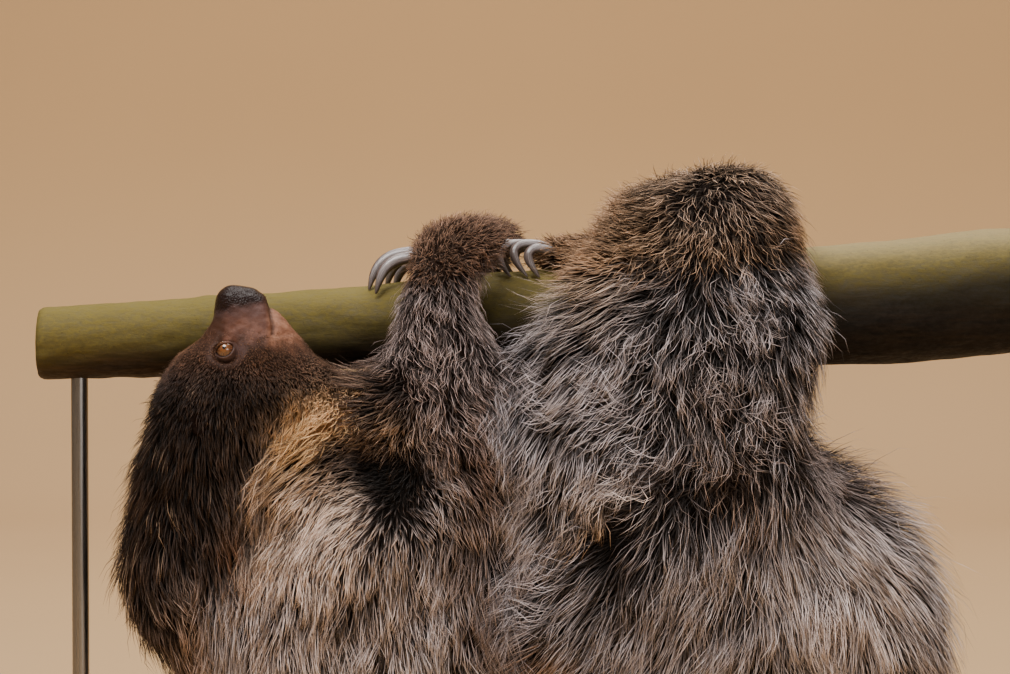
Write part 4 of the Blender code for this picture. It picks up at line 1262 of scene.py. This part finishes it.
def lay_locks(roots, out, fields, rings, tree, rng):
    """Centre lines of the locks, shape (count, rings + 1, 3)."""
    count = len(roots)
    way, length, depth, curl = (fields[key] for key in ("way", "length", "depth", "curl"))
    flat = way - out * np.sum(way * out, axis=1, keepdims=True)
    strength = np.linalg.norm(flat, axis=1)
    sway = rng.normal(size=(count, 3)) * 0.20
    bend = np.column_stack([ripple(roots, 0.055, 41 + k) for k in range(3)]) * 0.34
    bend += np.column_stack([ripple(roots, 0.016, 51 + k, 2) for k in range(3)]) * 0.36
    loose = np.clip(curl / 0.0030, 0.20, 2.0)[:, None]
    lost = np.clip(0.75 - strength, 0, 1)[:, None]
    stray = rng.normal(size=(count, 3)) * lost * 2.2
    flat = unit(flat + 1e-6) + (bend + sway) * loose * 0.9 + stray
    flat = unit(flat - out * np.sum(flat * out, axis=1, keepdims=True))
    hang = np.clip((-out[:, 2] - 0.55) / 0.45, 0, 1) * np.clip(1.2 - strength, 0, 1)
    tip_high = fields["high"]
    reach = np.sqrt(np.maximum(length ** 2 - tip_high ** 2, (0.35 * length) ** 2))
    reach = reach * (1 - 0.75 * hang)
    side = np.cross(out, flat)
    phase = rng.uniform(0, TAU, count)
    turns = rng.uniform(0.35, 1.0, count)
    swing = curl * rng.normal(1.1, 0.5, count)
    lines = np.empty((count, rings + 1, 3))
    lines[:, 0] = roots - out * 0.0012
    for k in range(1, rings + 1):
        t = k / rings
        wave = np.sin(phase + TAU * turns * t) - np.sin(phase)
        lines[:, k] = (roots + flat * (reach * t)[:, None] + side * (swing * t * wave)[:, None]
                       + out * (tip_high * (1 - (1 - t) ** 1.6))[:, None])
    # Locks gather towards a leader nearby, and these bunches towards another.
    for every, span, share in GATHERS:
        leaders = np.arange(0, count, every)
        near = KDTree(len(leaders))
        for i in leaders:
            near.insert(roots[i], int(i))
        near.balance()
        lead = np.array([near.find(p)[1] for p in roots])
        pull = fields["gather"] * rng.uniform(0.4, 1.2, count) * share
        apart = np.linalg.norm(roots[lead] - roots, axis=1)
        pull *= ease(span, 0.55 * span, apart) * ease(0.5, 0.9, np.sum(out[lead] * out, axis=1))
        for k in range(1, rings + 1):
            lines[:, k] += (lines[lead, k] - lines[:, k]) * (pull * (k / rings) ** 1.3)[:, None]
    for k in range(1, rings + 1):
        t = k / rings
        floor = np.minimum(0.0006 + 0.25 * t * depth, 0.9 * tip_high)
        ceiling = np.maximum(tip_high * (0.25 + 0.75 * t), floor)
        for i in np.flatnonzero(hang < 0.5):
            p = Vector(lines[i, k])
            spot, normal, _, _ = tree.find_nearest(p)
            high = (p - spot).dot(normal)
            wanted = min(max(high, floor[i]), ceiling[i])
            if abs(high - wanted) > 1e-5:
                away = (p - spot).normalized() if high > 0.0005 else normal
                lines[i, k] = spot + away * wanted
    return lines, lead


def lock_shape(lines, out, width):
    """Vertices of tapered three-sided locks, and the place of each along its lock."""
    count, steps = lines.shape[0], lines.shape[1] - 1
    tangent = np.empty_like(lines)
    tangent[:, 1:-1] = lines[:, 2:] - lines[:, :-2]
    tangent[:, 0] = lines[:, 1] - lines[:, 0]
    tangent[:, -1] = lines[:, -1] - lines[:, -2]
    verts = np.empty((count, steps * 3 + 1, 3))
    along = np.empty((count, steps * 3 + 1))
    for k in range(steps):
        t = k / steps
        line = unit(tangent[:, k])
        side = unit(np.cross(line, out))
        up = np.cross(side, line)
        half = (width * (1.0 - 0.55 * t ** 1.5) * (0.5 if k else 0.42))[:, None]
        centre = lines[:, k]
        verts[:, 3 * k] = centre + side * half - up * half * 0.30
        verts[:, 3 * k + 1] = centre - side * half - up * half * 0.30
        verts[:, 3 * k + 2] = centre + up * half * 0.55
        along[:, 3 * k:3 * k + 3] = t
    verts[:, -1] = lines[:, -1]
    along[:, -1] = 1.0
    return verts, along


def lock_faces(steps):
    """Faces of one lock and their corners in its square of the bake map."""
    faces, spots = [], []
    for k in range(steps):
        for j in range(3):
            a, b = 3 * k + j, 3 * k + (j + 1) % 3
            u0, u1 = j / 3 + 0.02, (j + 1) / 3 - 0.02
            v0, v1 = k / steps, (k + 1) / steps
            if k < steps - 1:
                faces.append((a, a + 3, b + 3, b))
                spots.append(((u0, v0), (u0, v1), (u1, v1), (u1, v0)))
            else:
                faces.append((a, 3 * steps, b))
                spots.append(((u0, v0), ((u0 + u1) / 2, 1.0), (u1, v0)))
    return faces, np.array([c for f in spots for c in f])


def lock_mesh(name, sets):
    """One mesh from sets of locks, with its bake map and stored values."""
    verts, loops, counts, spots, strand, marks = [], [], [], [], [], []
    start = 0
    for lines, out, width, tint, mark, cells in sets:
        steps = lines.shape[1] - 1
        shape, along = lock_shape(lines, out, width)
        faces, corners = lock_faces(steps)
        count, per = along.shape
        flat = np.array([v for f in faces for v in f])
        first = start + np.arange(count) * per
        verts.append(shape.reshape(-1, 3))
        loops.append((first[:, None] + flat[None, :]).ravel())
        counts.append(np.tile([len(f) for f in faces], count))
        spots.append((cells[:, None, :] + corners[None, :, :] * BAKE_SQUARE).reshape(-1, 2))
        pair = np.zeros((count, per, 3))
        pair[:, :, 0] = along
        pair[:, :, 1] = tint[:, None]
        strand.append(pair.reshape(-1, 3))
        marks.append(np.repeat(mark, per, axis=0))
        start += count * per
    verts, loops, counts = np.concatenate(verts), np.concatenate(loops), np.concatenate(counts)
    mesh = bpy.data.meshes.new(name)
    mesh.vertices.add(len(verts))
    mesh.vertices.foreach_set("co", flat_floats(verts))
    mesh.loops.add(len(loops))
    mesh.loops.foreach_set("vertex_index", loops.astype(np.int32))
    mesh.polygons.add(len(counts))
    starts = np.concatenate(([0], np.cumsum(counts)[:-1]))
    mesh.polygons.foreach_set("loop_start", starts.astype(np.int32))
    mesh.update(calc_edges=True)
    uv = mesh.uv_layers.new(name="OFBake")
    uv.data.foreach_set("uv", flat_floats(np.concatenate(spots)))
    put_attribute(mesh, "strand", "FLOAT_VECTOR", np.concatenate(strand))
    put_attribute(mesh, "mark", "FLOAT_COLOR", np.concatenate(marks))
    return mesh


def own_cells(chart):
    """Give each lock its own small square of the bake map, near its root's place."""
    grid = BAKE_GRID
    low, high = chart.min(axis=0), chart.max(axis=0)
    spot = (chart - low) / np.maximum(high - low, 1e-9)
    want = np.clip((spot * (grid - 1)).astype(int), 0, grid - 1)
    taken = set()
    ring = sorted(((i, j) for i in range(-9, 10) for j in range(-9, 10)),
                  key=lambda c: c[0] * c[0] + c[1] * c[1])
    cells = np.empty((len(chart), 2))
    for n, (a, b) in enumerate(want):
        for i, j in ring:
            cell = (min(max(a + i, 0), grid - 1), min(max(b + j, 0), grid - 1))
            if cell not in taken:
                break
        taken.add(cell)
        cells[n] = cell
    return cells / grid + 0.0001


def chart_of(points, kinds):
    """Unwrap of the skin: angle round the part's own axis, and place along it."""
    centre = points.mean(axis=0)
    x, y, z = (points - centre).T
    if "trunk" in kinds or "thigh" in kinds:
        return np.column_stack((np.arctan2(y, z), x))
    return np.column_stack((np.arctan2(y, x), z))


def skin_triangles():
    """Corners and areas of the skin's triangles, and all that is stored at its vertices."""
    mesh = bpy.data.objects["skin"].data.copy()
    bm = bmesh.new()
    bm.from_mesh(mesh)
    bmesh.ops.triangulate(bm, faces=bm.faces)
    bm.to_mesh(mesh)
    bm.free()
    data = {key: get_attribute(mesh, key, "FLOAT")
            for key in ("depth", "length", "width", "density", "curl", "stand", "owner")}
    data["way"] = get_attribute(mesh, "way", "FLOAT_VECTOR")
    data["mark"] = get_attribute(mesh, "mark", "FLOAT_COLOR")
    data["co"], data["no"] = positions(mesh), normals(mesh)
    corners = np.empty(len(mesh.polygons) * 3, dtype=np.int64)
    mesh.polygons.foreach_get("vertices", corners)
    bpy.data.meshes.remove(mesh)
    corners = corners.reshape(-1, 3)
    a, b, c = (data["co"][corners[:, i]] for i in range(3))
    return corners, 0.5 * np.linalg.norm(np.cross(b - a, c - a), axis=1), data


def sow(corners, total, count, data, rng):
    """What is stored at places picked evenly by the running total of weights."""
    pick = (np.arange(count) + rng.random(count)) * total[-1] / count
    pick = np.minimum(np.searchsorted(total, pick), len(corners) - 1)
    a, b = rng.random(count), rng.random(count)
    flip = a + b > 1
    a[flip], b[flip] = 1 - a[flip], 1 - b[flip]
    bary = np.column_stack((1 - a - b, a, b))
    return {key: np.einsum("ij,ijk->ik", bary, values[corners[pick]])
            for key, values in data.items()}


def grow(at, guard, head, tree, rng):
    """Guard or under locks at the sown places, in sets by their number of rings."""
    root, out, mark = at["co"], unit(at["no"]), at["mark"]
    count = len(root)
    fields = {key: at[key][:, 0] for key in ("length", "width", "depth", "curl")}
    fields["way"] = at["way"]
    stand = at["stand"][:, 0]
    wavy = ease(*WAVY, fields["curl"])
    if guard:
        fields["length"] *= rng.uniform(0.78, 1.12, count)
        fields["width"] *= rng.uniform(0.45, 0.90, count)
        high = rng.uniform(0.55, 1.02, count)
        high = np.where(rng.random(count) < 0.07, high * 1.5, high)
        loose = np.maximum(wavy, 0.7 * head)
        tint = rng.beta(1.6, 1.2, count) * (1 - loose) + rng.beta(0.80, 0.85, count) * loose
    else:
        fields["length"] *= rng.uniform(0.50, 0.85, count)
        fields["width"] *= rng.uniform(1.5, 2.25, count)
        high = rng.uniform(0.40, 0.70, count)
        soft = ease(0.0030, 0.0019, fields["curl"]) * (1 - mark[:, 0])
        tint = rng.beta(1.1, 6.0, count) + 0.50 * mark[:, 1] + 0.30 * soft
        tint = (tint + 0.30 * mark[:, 2]) * (1 - 0.78 * wavy)
    fields["high"] = (fields["depth"] + 0.0012) * high * stand
    lean = np.clip(np.sum(unit(fields["way"]) * out, axis=1), 0, 1) ** 2
    fields["high"] += fields["length"] * lean * (0.16 + 0.30 * np.clip(stand - 1, 0, 2))
    fields["gather"] = np.clip(fields["length"] / 0.05, 0.1, 1.0) * 0.70
    rings = 3 if guard else 2
    lines, lead = lay_locks(root, out, fields, rings, tree, rng)
    own = 0.58 + 0.22 * wavy
    tint = own * tint + (1 - own) * tint[lead] + 0.12 * ripple(root, 0.030, 61)
    # Locks inside the hollows are darkened as painted shade.
    tint = np.clip(tint + 0.08 * mark[:, 3], 0, 1) * (1 - 0.9 * hollow_shade_share(root))
    short = (fields["length"] < SHORT_LOCK) & guard
    return [(lines[some][:, rows], out[some], fields["width"][some], tint[some], mark[some],
             root[some]) for some, rows in ((short, (0, 2, 3)), (~short, tuple(range(rings + 1))))]


class SLOTH_OT_coat(bpy.types.Operator):
    """The coat: solid locks over the skin that follow the lie of the hair"""
    bl_idname = "sloth.coat"
    bl_label = "Coat"

    def execute(self, context):
        corners, area, data = skin_triangles()
        tree = skin_tree()
        owner = data.pop("owner")[corners[:, 0], 0].round().astype(int)
        kinds = np.array([kind_of(name) for name in FLESH])[owner]
        middle = data["co"][corners].mean(axis=1)
        mat = coat_material()
        rng = np.random.default_rng(sizes().coat_seed)
        share = 1.0
        for name, parts, side, slot in COATS:
            mine = np.isin(kinds, parts)
            if side:
                mine &= np.sign(middle[:, 1]) == side
            weight = np.where(mine, area * 1e4 * data["density"][corners, 0].mean(axis=1), 0.0)
            weight = weight * (FAR_SHARE if side > 0 else 1.0)
            weight = np.where(data["length"][corners, 0].min(axis=1) > BALD, weight, 0.0)
            total = weight.cumsum()
            made = []
            for guard, part in ((False, UNDER_SHARE), (True, GUARD_SHARE)):
                at = sow(corners, total, int(total[-1] * share * part), data, rng)
                made += grow(at, guard, parts == ("head",), tree, rng)
            cells = own_cells(chart_of(np.concatenate([m[5] for m in made]), parts))
            ends = np.cumsum([len(m[5]) for m in made])
            piece = lock_mesh(name, [(*m[:5], cells[end - len(m[5]):end])
                                     for m, end in zip(made, ends) if len(m[5])])
            piece.materials.append(mat)
            new_piece(name, piece, slot)
        return {"FINISHED"}


# --------------------------------------------------------------------- perch
POLE = (                    # x, height of the axis, radius
    (-0.392, 0.4797, 0.0280), (-0.300, 0.4846, 0.0290), (-0.168, 0.4916, 0.0312),
    (-0.035, 0.5000, 0.0350), (0.100, 0.5058, 0.0415), (0.231, 0.5105, 0.0470),
    (0.350, 0.5210, 0.0483), (0.396, 0.5245, 0.0483),
)


KNOTS = (                   # x, angle, radius, height
    (-0.262, 1.35, 0.010, 0.0024), (0.190, 2.4, 0.014, 0.0020), (0.300, 0.4, 0.012, 0.0018),
    (-0.120, 4.0, 0.012, 0.0016),
)
CUT_RINGS = 20              # scale of the year rings on the sawn ends


def pole_rows():
    """Smooth rows of x, axis height and radius along the pole."""
    rows, last = [], len(POLE) - 1
    for i in range(last):
        a, b, c, d = (np.array(POLE[k]) for k in (max(i - 1, 0), i, i + 1, min(i + 2, last)))
        for s in range(12):
            t = s / 12
            rows.append(0.5 * (2 * b + (c - a) * t + (2 * a - 5 * b + 4 * c - d) * t * t
                               + (3 * b - a - 3 * c + d) * t * t * t))
    rows.append(np.array(POLE[last]))
    return np.array(rows)


def perch_material():
    """Mossy bark above and bare bark below, with a painted highlight along the top and painted
    shade on the underside and towards the right-hand end.
    """
    mat, net, shader = new_material("perch")
    tone = shades()
    where = attribute(net, "round")
    top, along, cut = net.stored("round")
    blotch = net.noise(20.0, 3.0, 0.55, stretch=(0.5, 1.0, 1.0))
    fine = net.noise(320.0, 5.0, 0.65, stretch=(0.6, 1.0, 1.0))
    grain = net.noise(1.0, 4.0, 0.6, stretch=(30.0, 260.0, 260.0))
    height = net.math("ADD", top, net.part(net.math("SUBTRACT", blotch, 0.5), 1.1))
    mossy = net.step(net.math("SUBTRACT", height, net.part(along, 0.62)), -0.95, -0.05)
    moss = net.mix(net.step(fine, 0.35, 0.70), net.times(tone.moss, (0.66, 0.66, 0.70)),
                   tone.moss)
    # Painted highlight: a pale strip along the top of the pole, paler towards the right-hand end.
    pale = net.mix(net.part(net.step(along, 0.35, 0.80), 0.75), tone.moss, (0.285, 0.216, 0.102))
    ridge = net.math("ADD", top, net.part(fine, 0.5))
    moss = net.mix(net.step(ridge, 0.75, 1.35), moss, pale)
    bark = net.mix(net.step(grain, 0.35, 0.70), net.times(tone.bark, (0.25, 0.25, 0.25)),
                   tone.bark)
    base = net.mix(mossy, bark, moss)
    specks = net.spots(210.0)
    base = net.mix(net.part(net.step(specks, 0.16, 0.06), 0.45), base, (0.030, 0.018, 0.008))
    rings = net.add("ShaderNodeTexNoise", links={"Vector": where.outputs["Vector"]},
                    values={"Scale": 30.0, "Detail": 4.0})
    wood = net.mix(net.step(rings, 0.3, 0.7), tone.cut_wood,
                   net.times(tone.cut_wood, (0.55, 0.48, 0.40)))
    # Painted shade: darker towards the underside, and on the lower half much darker towards the
    # right-hand end.
    painted_shade = net.math("ADD", net.step(top, -0.9, 1.0, 0.55, 1.0),
                    net.part(along, net.step(top, 0.08, 0.92, -0.76, 0.08)))
    painted_shade = net.math("MAXIMUM", painted_shade, 0.12)
    base = net.times(base, net.add("ShaderNodeCombineColor", links={0: painted_shade, 1: painted_shade, 2: painted_shade}))
    base = net.mix(cut, base, wood)
    relief = net.math("ADD", net.part(grain, 0.6), net.part(fine, 0.8))
    wire(net, shader, Base_Color=base, Roughness=net.step(fine, 0.3, 0.7, 0.62, 0.88),
         Normal=bump(net, relief, 0.0009, 0.6), Specular_IOR_Level=0.25)
    return mat


class SLOTH_OT_perch(bpy.types.Operator):
    """The cut length of pole, with knots, worn bark and sawn ends"""
    bl_idname = "sloth.perch"
    bl_label = "Pole"

    def execute(self, context):
        rows = pole_rows()
        low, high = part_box("perch")
        lengths, turns = 260, 72
        x0, x1 = float(low[0]), float(high[0])
        bm = bmesh.new()
        info, rings = [], []
        for i in range(lengths + 1):
            x = x0 + (x1 - x0) * i / lengths
            height = float(np.interp(x, rows[:, 0], rows[:, 1]))
            radius = float(np.interp(x, rows[:, 0], rows[:, 2]))
            ring = []
            for j in range(turns):
                a = TAU * j / turns
                p = np.array([[x * 0.35, math.cos(a) * radius, math.sin(a) * radius]])
                swell = 0.0009 * float(ripple(p, 0.045, 71)[0])
                swell += 0.0003 * float(ripple(p, 0.010, 72, 2)[0])
                for kx, ka, size, tall in KNOTS:
                    turn = math.remainder(a - ka, TAU) * radius
                    swell += tall * math.exp(-(((x - kx) ** 2 + turn * turn) / size ** 2))
                end = min(x - x0, x1 - x)
                chamfer = 0.0016 * math.exp(-end / 0.0016)
                r = radius - 0.0002 + swell - chamfer
                ring.append(bm.verts.new((x, math.cos(a) * r, height + math.sin(a) * r)))
                info.append((math.sin(a), (x - x0) / (x1 - x0), 0.0))
            rings.append(ring)
        bridge(bm, rings)
        for ring, x in ((rings[0], x0), (rings[-1], x1)):
            height = sum(v.co.z for v in ring) / turns
            cap = [ring]
            for step in (0.92, 0.70, 0.45, 0.20):
                cap.append([bm.verts.new((x, v.co.y * step, height + (v.co.z - height) * step))
                            for v in ring])
                info += [(v.co.y * step * CUT_RINGS, (v.co.z - height) * step * CUT_RINGS, 1.0)
                         for v in ring]
            bridge(bm, cap)
            bm.faces.new(cap[-1])
        mesh = mesh_from(bm, "pole")
        put_attribute(mesh, "round", "FLOAT_VECTOR", np.array(info))
        mesh.materials.append(perch_material())
        new_piece("pole", mesh, "perch_bark", "perch")
        return {"FINISHED"}


# --------------------------------------------------------------------- stand
def wood_material():
    """Dark satin wood with long grain."""
    mat, net, shader = new_material("stand_wood")
    tone = shades()
    grain = net.noise(1.0, 5.0, 0.62, stretch=(7.0, 150.0, 150.0))
    pores = net.noise(1.0, 3.0, 0.6, stretch=(60.0, 1300.0, 1300.0))
    dark = net.times(tone.stand_wood, (0.45, 0.42, 0.40))
    base = net.mix(net.step(grain, 0.35, 0.68), dark, tone.stand_wood)
    base = net.mix(net.part(net.step(pores, 0.60, 0.72), 0.6), base, (0.012, 0.007, 0.004))
    wire(net, shader, Base_Color=base, Roughness=net.step(grain, 0.3, 0.7, 0.34, 0.48),
         Normal=bump(net, pores, 0.0003, 0.4), Coat_Weight=0.15, Coat_Roughness=0.3)
    return mat


def metal_material():
    """Brushed steel."""
    mat, net, shader = new_material("stand_metal")
    tone = shades()
    brushed = net.noise(1.0, 3.0, 0.6, stretch=(1200.0, 1200.0, 18.0))
    base = net.mix(net.step(brushed, 0.3, 0.7), tone.stand_metal,
                   net.times(tone.stand_metal, (0.8, 0.8, 0.8)))
    wire(net, shader, Base_Color=base, Metallic=1.0, Normal=bump(net, brushed, 0.0001, 0.3),
         Roughness=net.step(brushed, 0.3, 0.7, 0.24, 0.40))
    return mat


COLLAR = (                  # outline of a rod's collar: radius, height above the base
    (0.017, 0.0003), (0.017, 0.0030), (0.0155, 0.0042), (0.0095, 0.0048), (0.0088, 0.0100),
    (0.0078, 0.0112),
)
ROD_SIDES = 40


class SLOTH_OT_stand(bpy.types.Operator):
    """The display stand: base and two rods with collars"""
    bl_idname = "sloth.stand"
    bl_label = "Stand"

    def execute(self, context):
        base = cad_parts["stand_base"]
        base.data.materials.clear()
        base.data.materials.append(wood_material())
        metal = metal_material()
        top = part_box("stand_base")[1][2]
        for word in ("left", "right"):
            low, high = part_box("stand_rod_" + word)
            x = (low[0] + high[0]) / 2
            radius = sizes().rod_radius
            outline = [(radius, low[2]), (radius, top + COLLAR[0][1])]
            outline += [(r, top + z) for r, z in COLLAR]
            outline += [(radius, top + 0.0116), (radius, high[2] - 0.0005),
                        (radius - 0.0005, high[2])]
            bm = bmesh.new()
            turn = [TAU * j / ROD_SIDES for j in range(ROD_SIDES)]
            rings = [[bm.verts.new((x + r * math.cos(a), r * math.sin(a), z)) for a in turn]
                     for r, z in outline]
            bridge(bm, rings)
            bm.faces.new(rings[0])
            bm.faces.new(rings[-1])
            mesh = mesh_from(bm, "rod_" + word)
            mesh.materials.append(metal)
            new_piece("rod_" + word, mesh, "stand_metal", "stand_rod_" + word)
            mesh.set_sharp_from_angle(angle=math.radians(35))
        return {"FINISHED"}


# --------------------------------------------------------------------- stage
class SLOTH_OT_stage(bpy.types.Operator):
    """Floor, backdrop, soft lights and camera"""
    bl_idname = "sloth.stage"
    bl_label = "Stage"

    def execute(self, context):
        tone = shades()
        bm = bmesh.new()
        outline = [(-8.0, 0.0), (3.6, 0.0)]
        for k in range(1, 17):
            a = math.radians(90 * k / 16)
            outline.append((3.6 + 1.6 * math.sin(a), 1.6 * (1 - math.cos(a))))
        outline.append((5.2, 6.0))
        rows = [[bm.verts.new((x, y, z)) for y, z in outline] for x in (-9.0, 9.0)]
        for i in range(len(outline) - 1):
            bm.faces.new((rows[0][i], rows[1][i], rows[1][i + 1], rows[0][i + 1]))
        mesh = bpy.data.meshes.new("floor")
        bm.to_mesh(mesh)
        bm.free()
        mesh.shade_smooth()
        mat, net, shader = new_material("floor")
        coords = net.add("ShaderNodeTexCoord", out=3)
        height = net.add("ShaderNodeSeparateXYZ", out=2, links={"Vector": coords})
        cloud = net.noise(0.9, 3.0, 0.5)
        base = net.mix(net.step(height, 0.0, 0.9), tone.floor, tone.backdrop)
        base = net.mix(net.part(net.step(cloud, 0.35, 0.70), 0.25), base,
                       net.times(base, (0.86, 0.84, 0.80)))
        wire(net, shader, Base_Color=base, Roughness=0.9, Specular_IOR_Level=0.2)
        mesh.materials.append(mat)
        floor = bpy.data.objects.new("floor", mesh)
        context.scene.collection.objects.link(floor)

        middle = Vector((0.0, 0.0, 0.42))
        lamps = (
            ("key", (-0.7, -1.3, 2.6), 1.7, 1.1, 98.0, (1.0, 0.97, 0.94)),
            ("top", (0.3, 0.5, 2.5), 1.8, 1.4, 52.0, (1.0, 0.97, 0.94)),
            ("fill", (1.1, -2.4, 0.8), 0.9, 0.6, 13.0, (1.0, 0.95, 0.90)),
            ("wall", (0.0, 2.4, 3.2), 5.0, 1.6, 150.0, (1.0, 0.95, 0.88)),
        )
        for name, spot, wide, high, power, tint in lamps:
            light = bpy.data.lights.new(name, "AREA")
            light.shape = "RECTANGLE"
            light.size = wide
            light.size_y = high
            light.energy = power
            light.color = tint
            obj = bpy.data.objects.new(name, light)
            obj.location = spot
            aim = Vector((0.0, 5.0, 0.6)) if name == "wall" else middle
            obj.rotation_euler = (aim - Vector(spot)).to_track_quat("-Z", "Y").to_euler()
            context.scene.collection.objects.link(obj)
        world = bpy.data.worlds.new("studio")
        world.use_nodes = True
        world.node_tree.nodes["Background"].inputs["Color"].default_value = (0.86, 0.80, 0.72, 1.0)
        world.node_tree.nodes["Background"].inputs["Strength"].default_value = 0.28
        context.scene.world = world

        s = sizes()
        lens = bpy.data.cameras.new("camera")
        lens.sensor_width = 36.0
        lens.lens = 36.0 * s.camera_distance / 0.7769
        lens.dof.use_dof = False
        lens.clip_end = 50.0
        camera = bpy.data.objects.new("camera", lens)
        aim = Vector((-0.0346, 0.0, 0.4854))
        back = Vector((0.0, -math.cos(s.camera_height), math.sin(s.camera_height)))
        camera.location = aim + back * s.camera_distance
        camera.rotation_euler = (math.pi / 2 - s.camera_height, 0.0, 0.0)
        context.scene.collection.objects.link(camera)
        context.scene.camera = camera
        return {"FINISHED"}


class SLOTH_PT_panel(bpy.types.Panel):
    """Sidebar panel with every operator"""
    bl_idname = "SLOTH_PT_panel"
    bl_label = "Sloth"
    bl_space_type = "VIEW_3D"
    bl_region_type = "UI"
    bl_category = "Sloth"

    def draw(self, context):
        for item in OPERATORS:
            self.layout.operator(item.bl_idname)
        for group in (context.scene.sloth_sizes, context.scene.sloth_colours):
            box = self.layout.box()
            for key in group.__annotations__:
                box.prop(group, key)


OPERATORS = (SLOTH_OT_skin, SLOTH_OT_face, SLOTH_OT_claws, SLOTH_OT_coat, SLOTH_OT_perch,
             SLOTH_OT_stand, SLOTH_OT_stage)
CLASSES = (SlothSizes, SlothColours) + OPERATORS + (SLOTH_PT_panel,)


def register():
    """Make the classes and the scene's settings known."""
    for item in CLASSES:
        bpy.utils.register_class(item)
    bpy.types.Scene.sloth_sizes = PointerProperty(type=SlothSizes)
    bpy.types.Scene.sloth_colours = PointerProperty(type=SlothColours)


def unregister():
    """Take the classes and settings away again."""
    del bpy.types.Scene.sloth_colours
    del bpy.types.Scene.sloth_sizes
    for item in reversed(CLASSES):
        bpy.utils.unregister_class(item)


def main():
    """Build every piece in order."""
    register()
    bpy.ops.sloth.skin()
    bpy.ops.sloth.face()
    bpy.ops.sloth.claws()
    bpy.ops.sloth.coat()
    bpy.ops.sloth.perch()
    bpy.ops.sloth.stand()
    bpy.ops.sloth.stage()


if __name__ == "__main__":
    main()
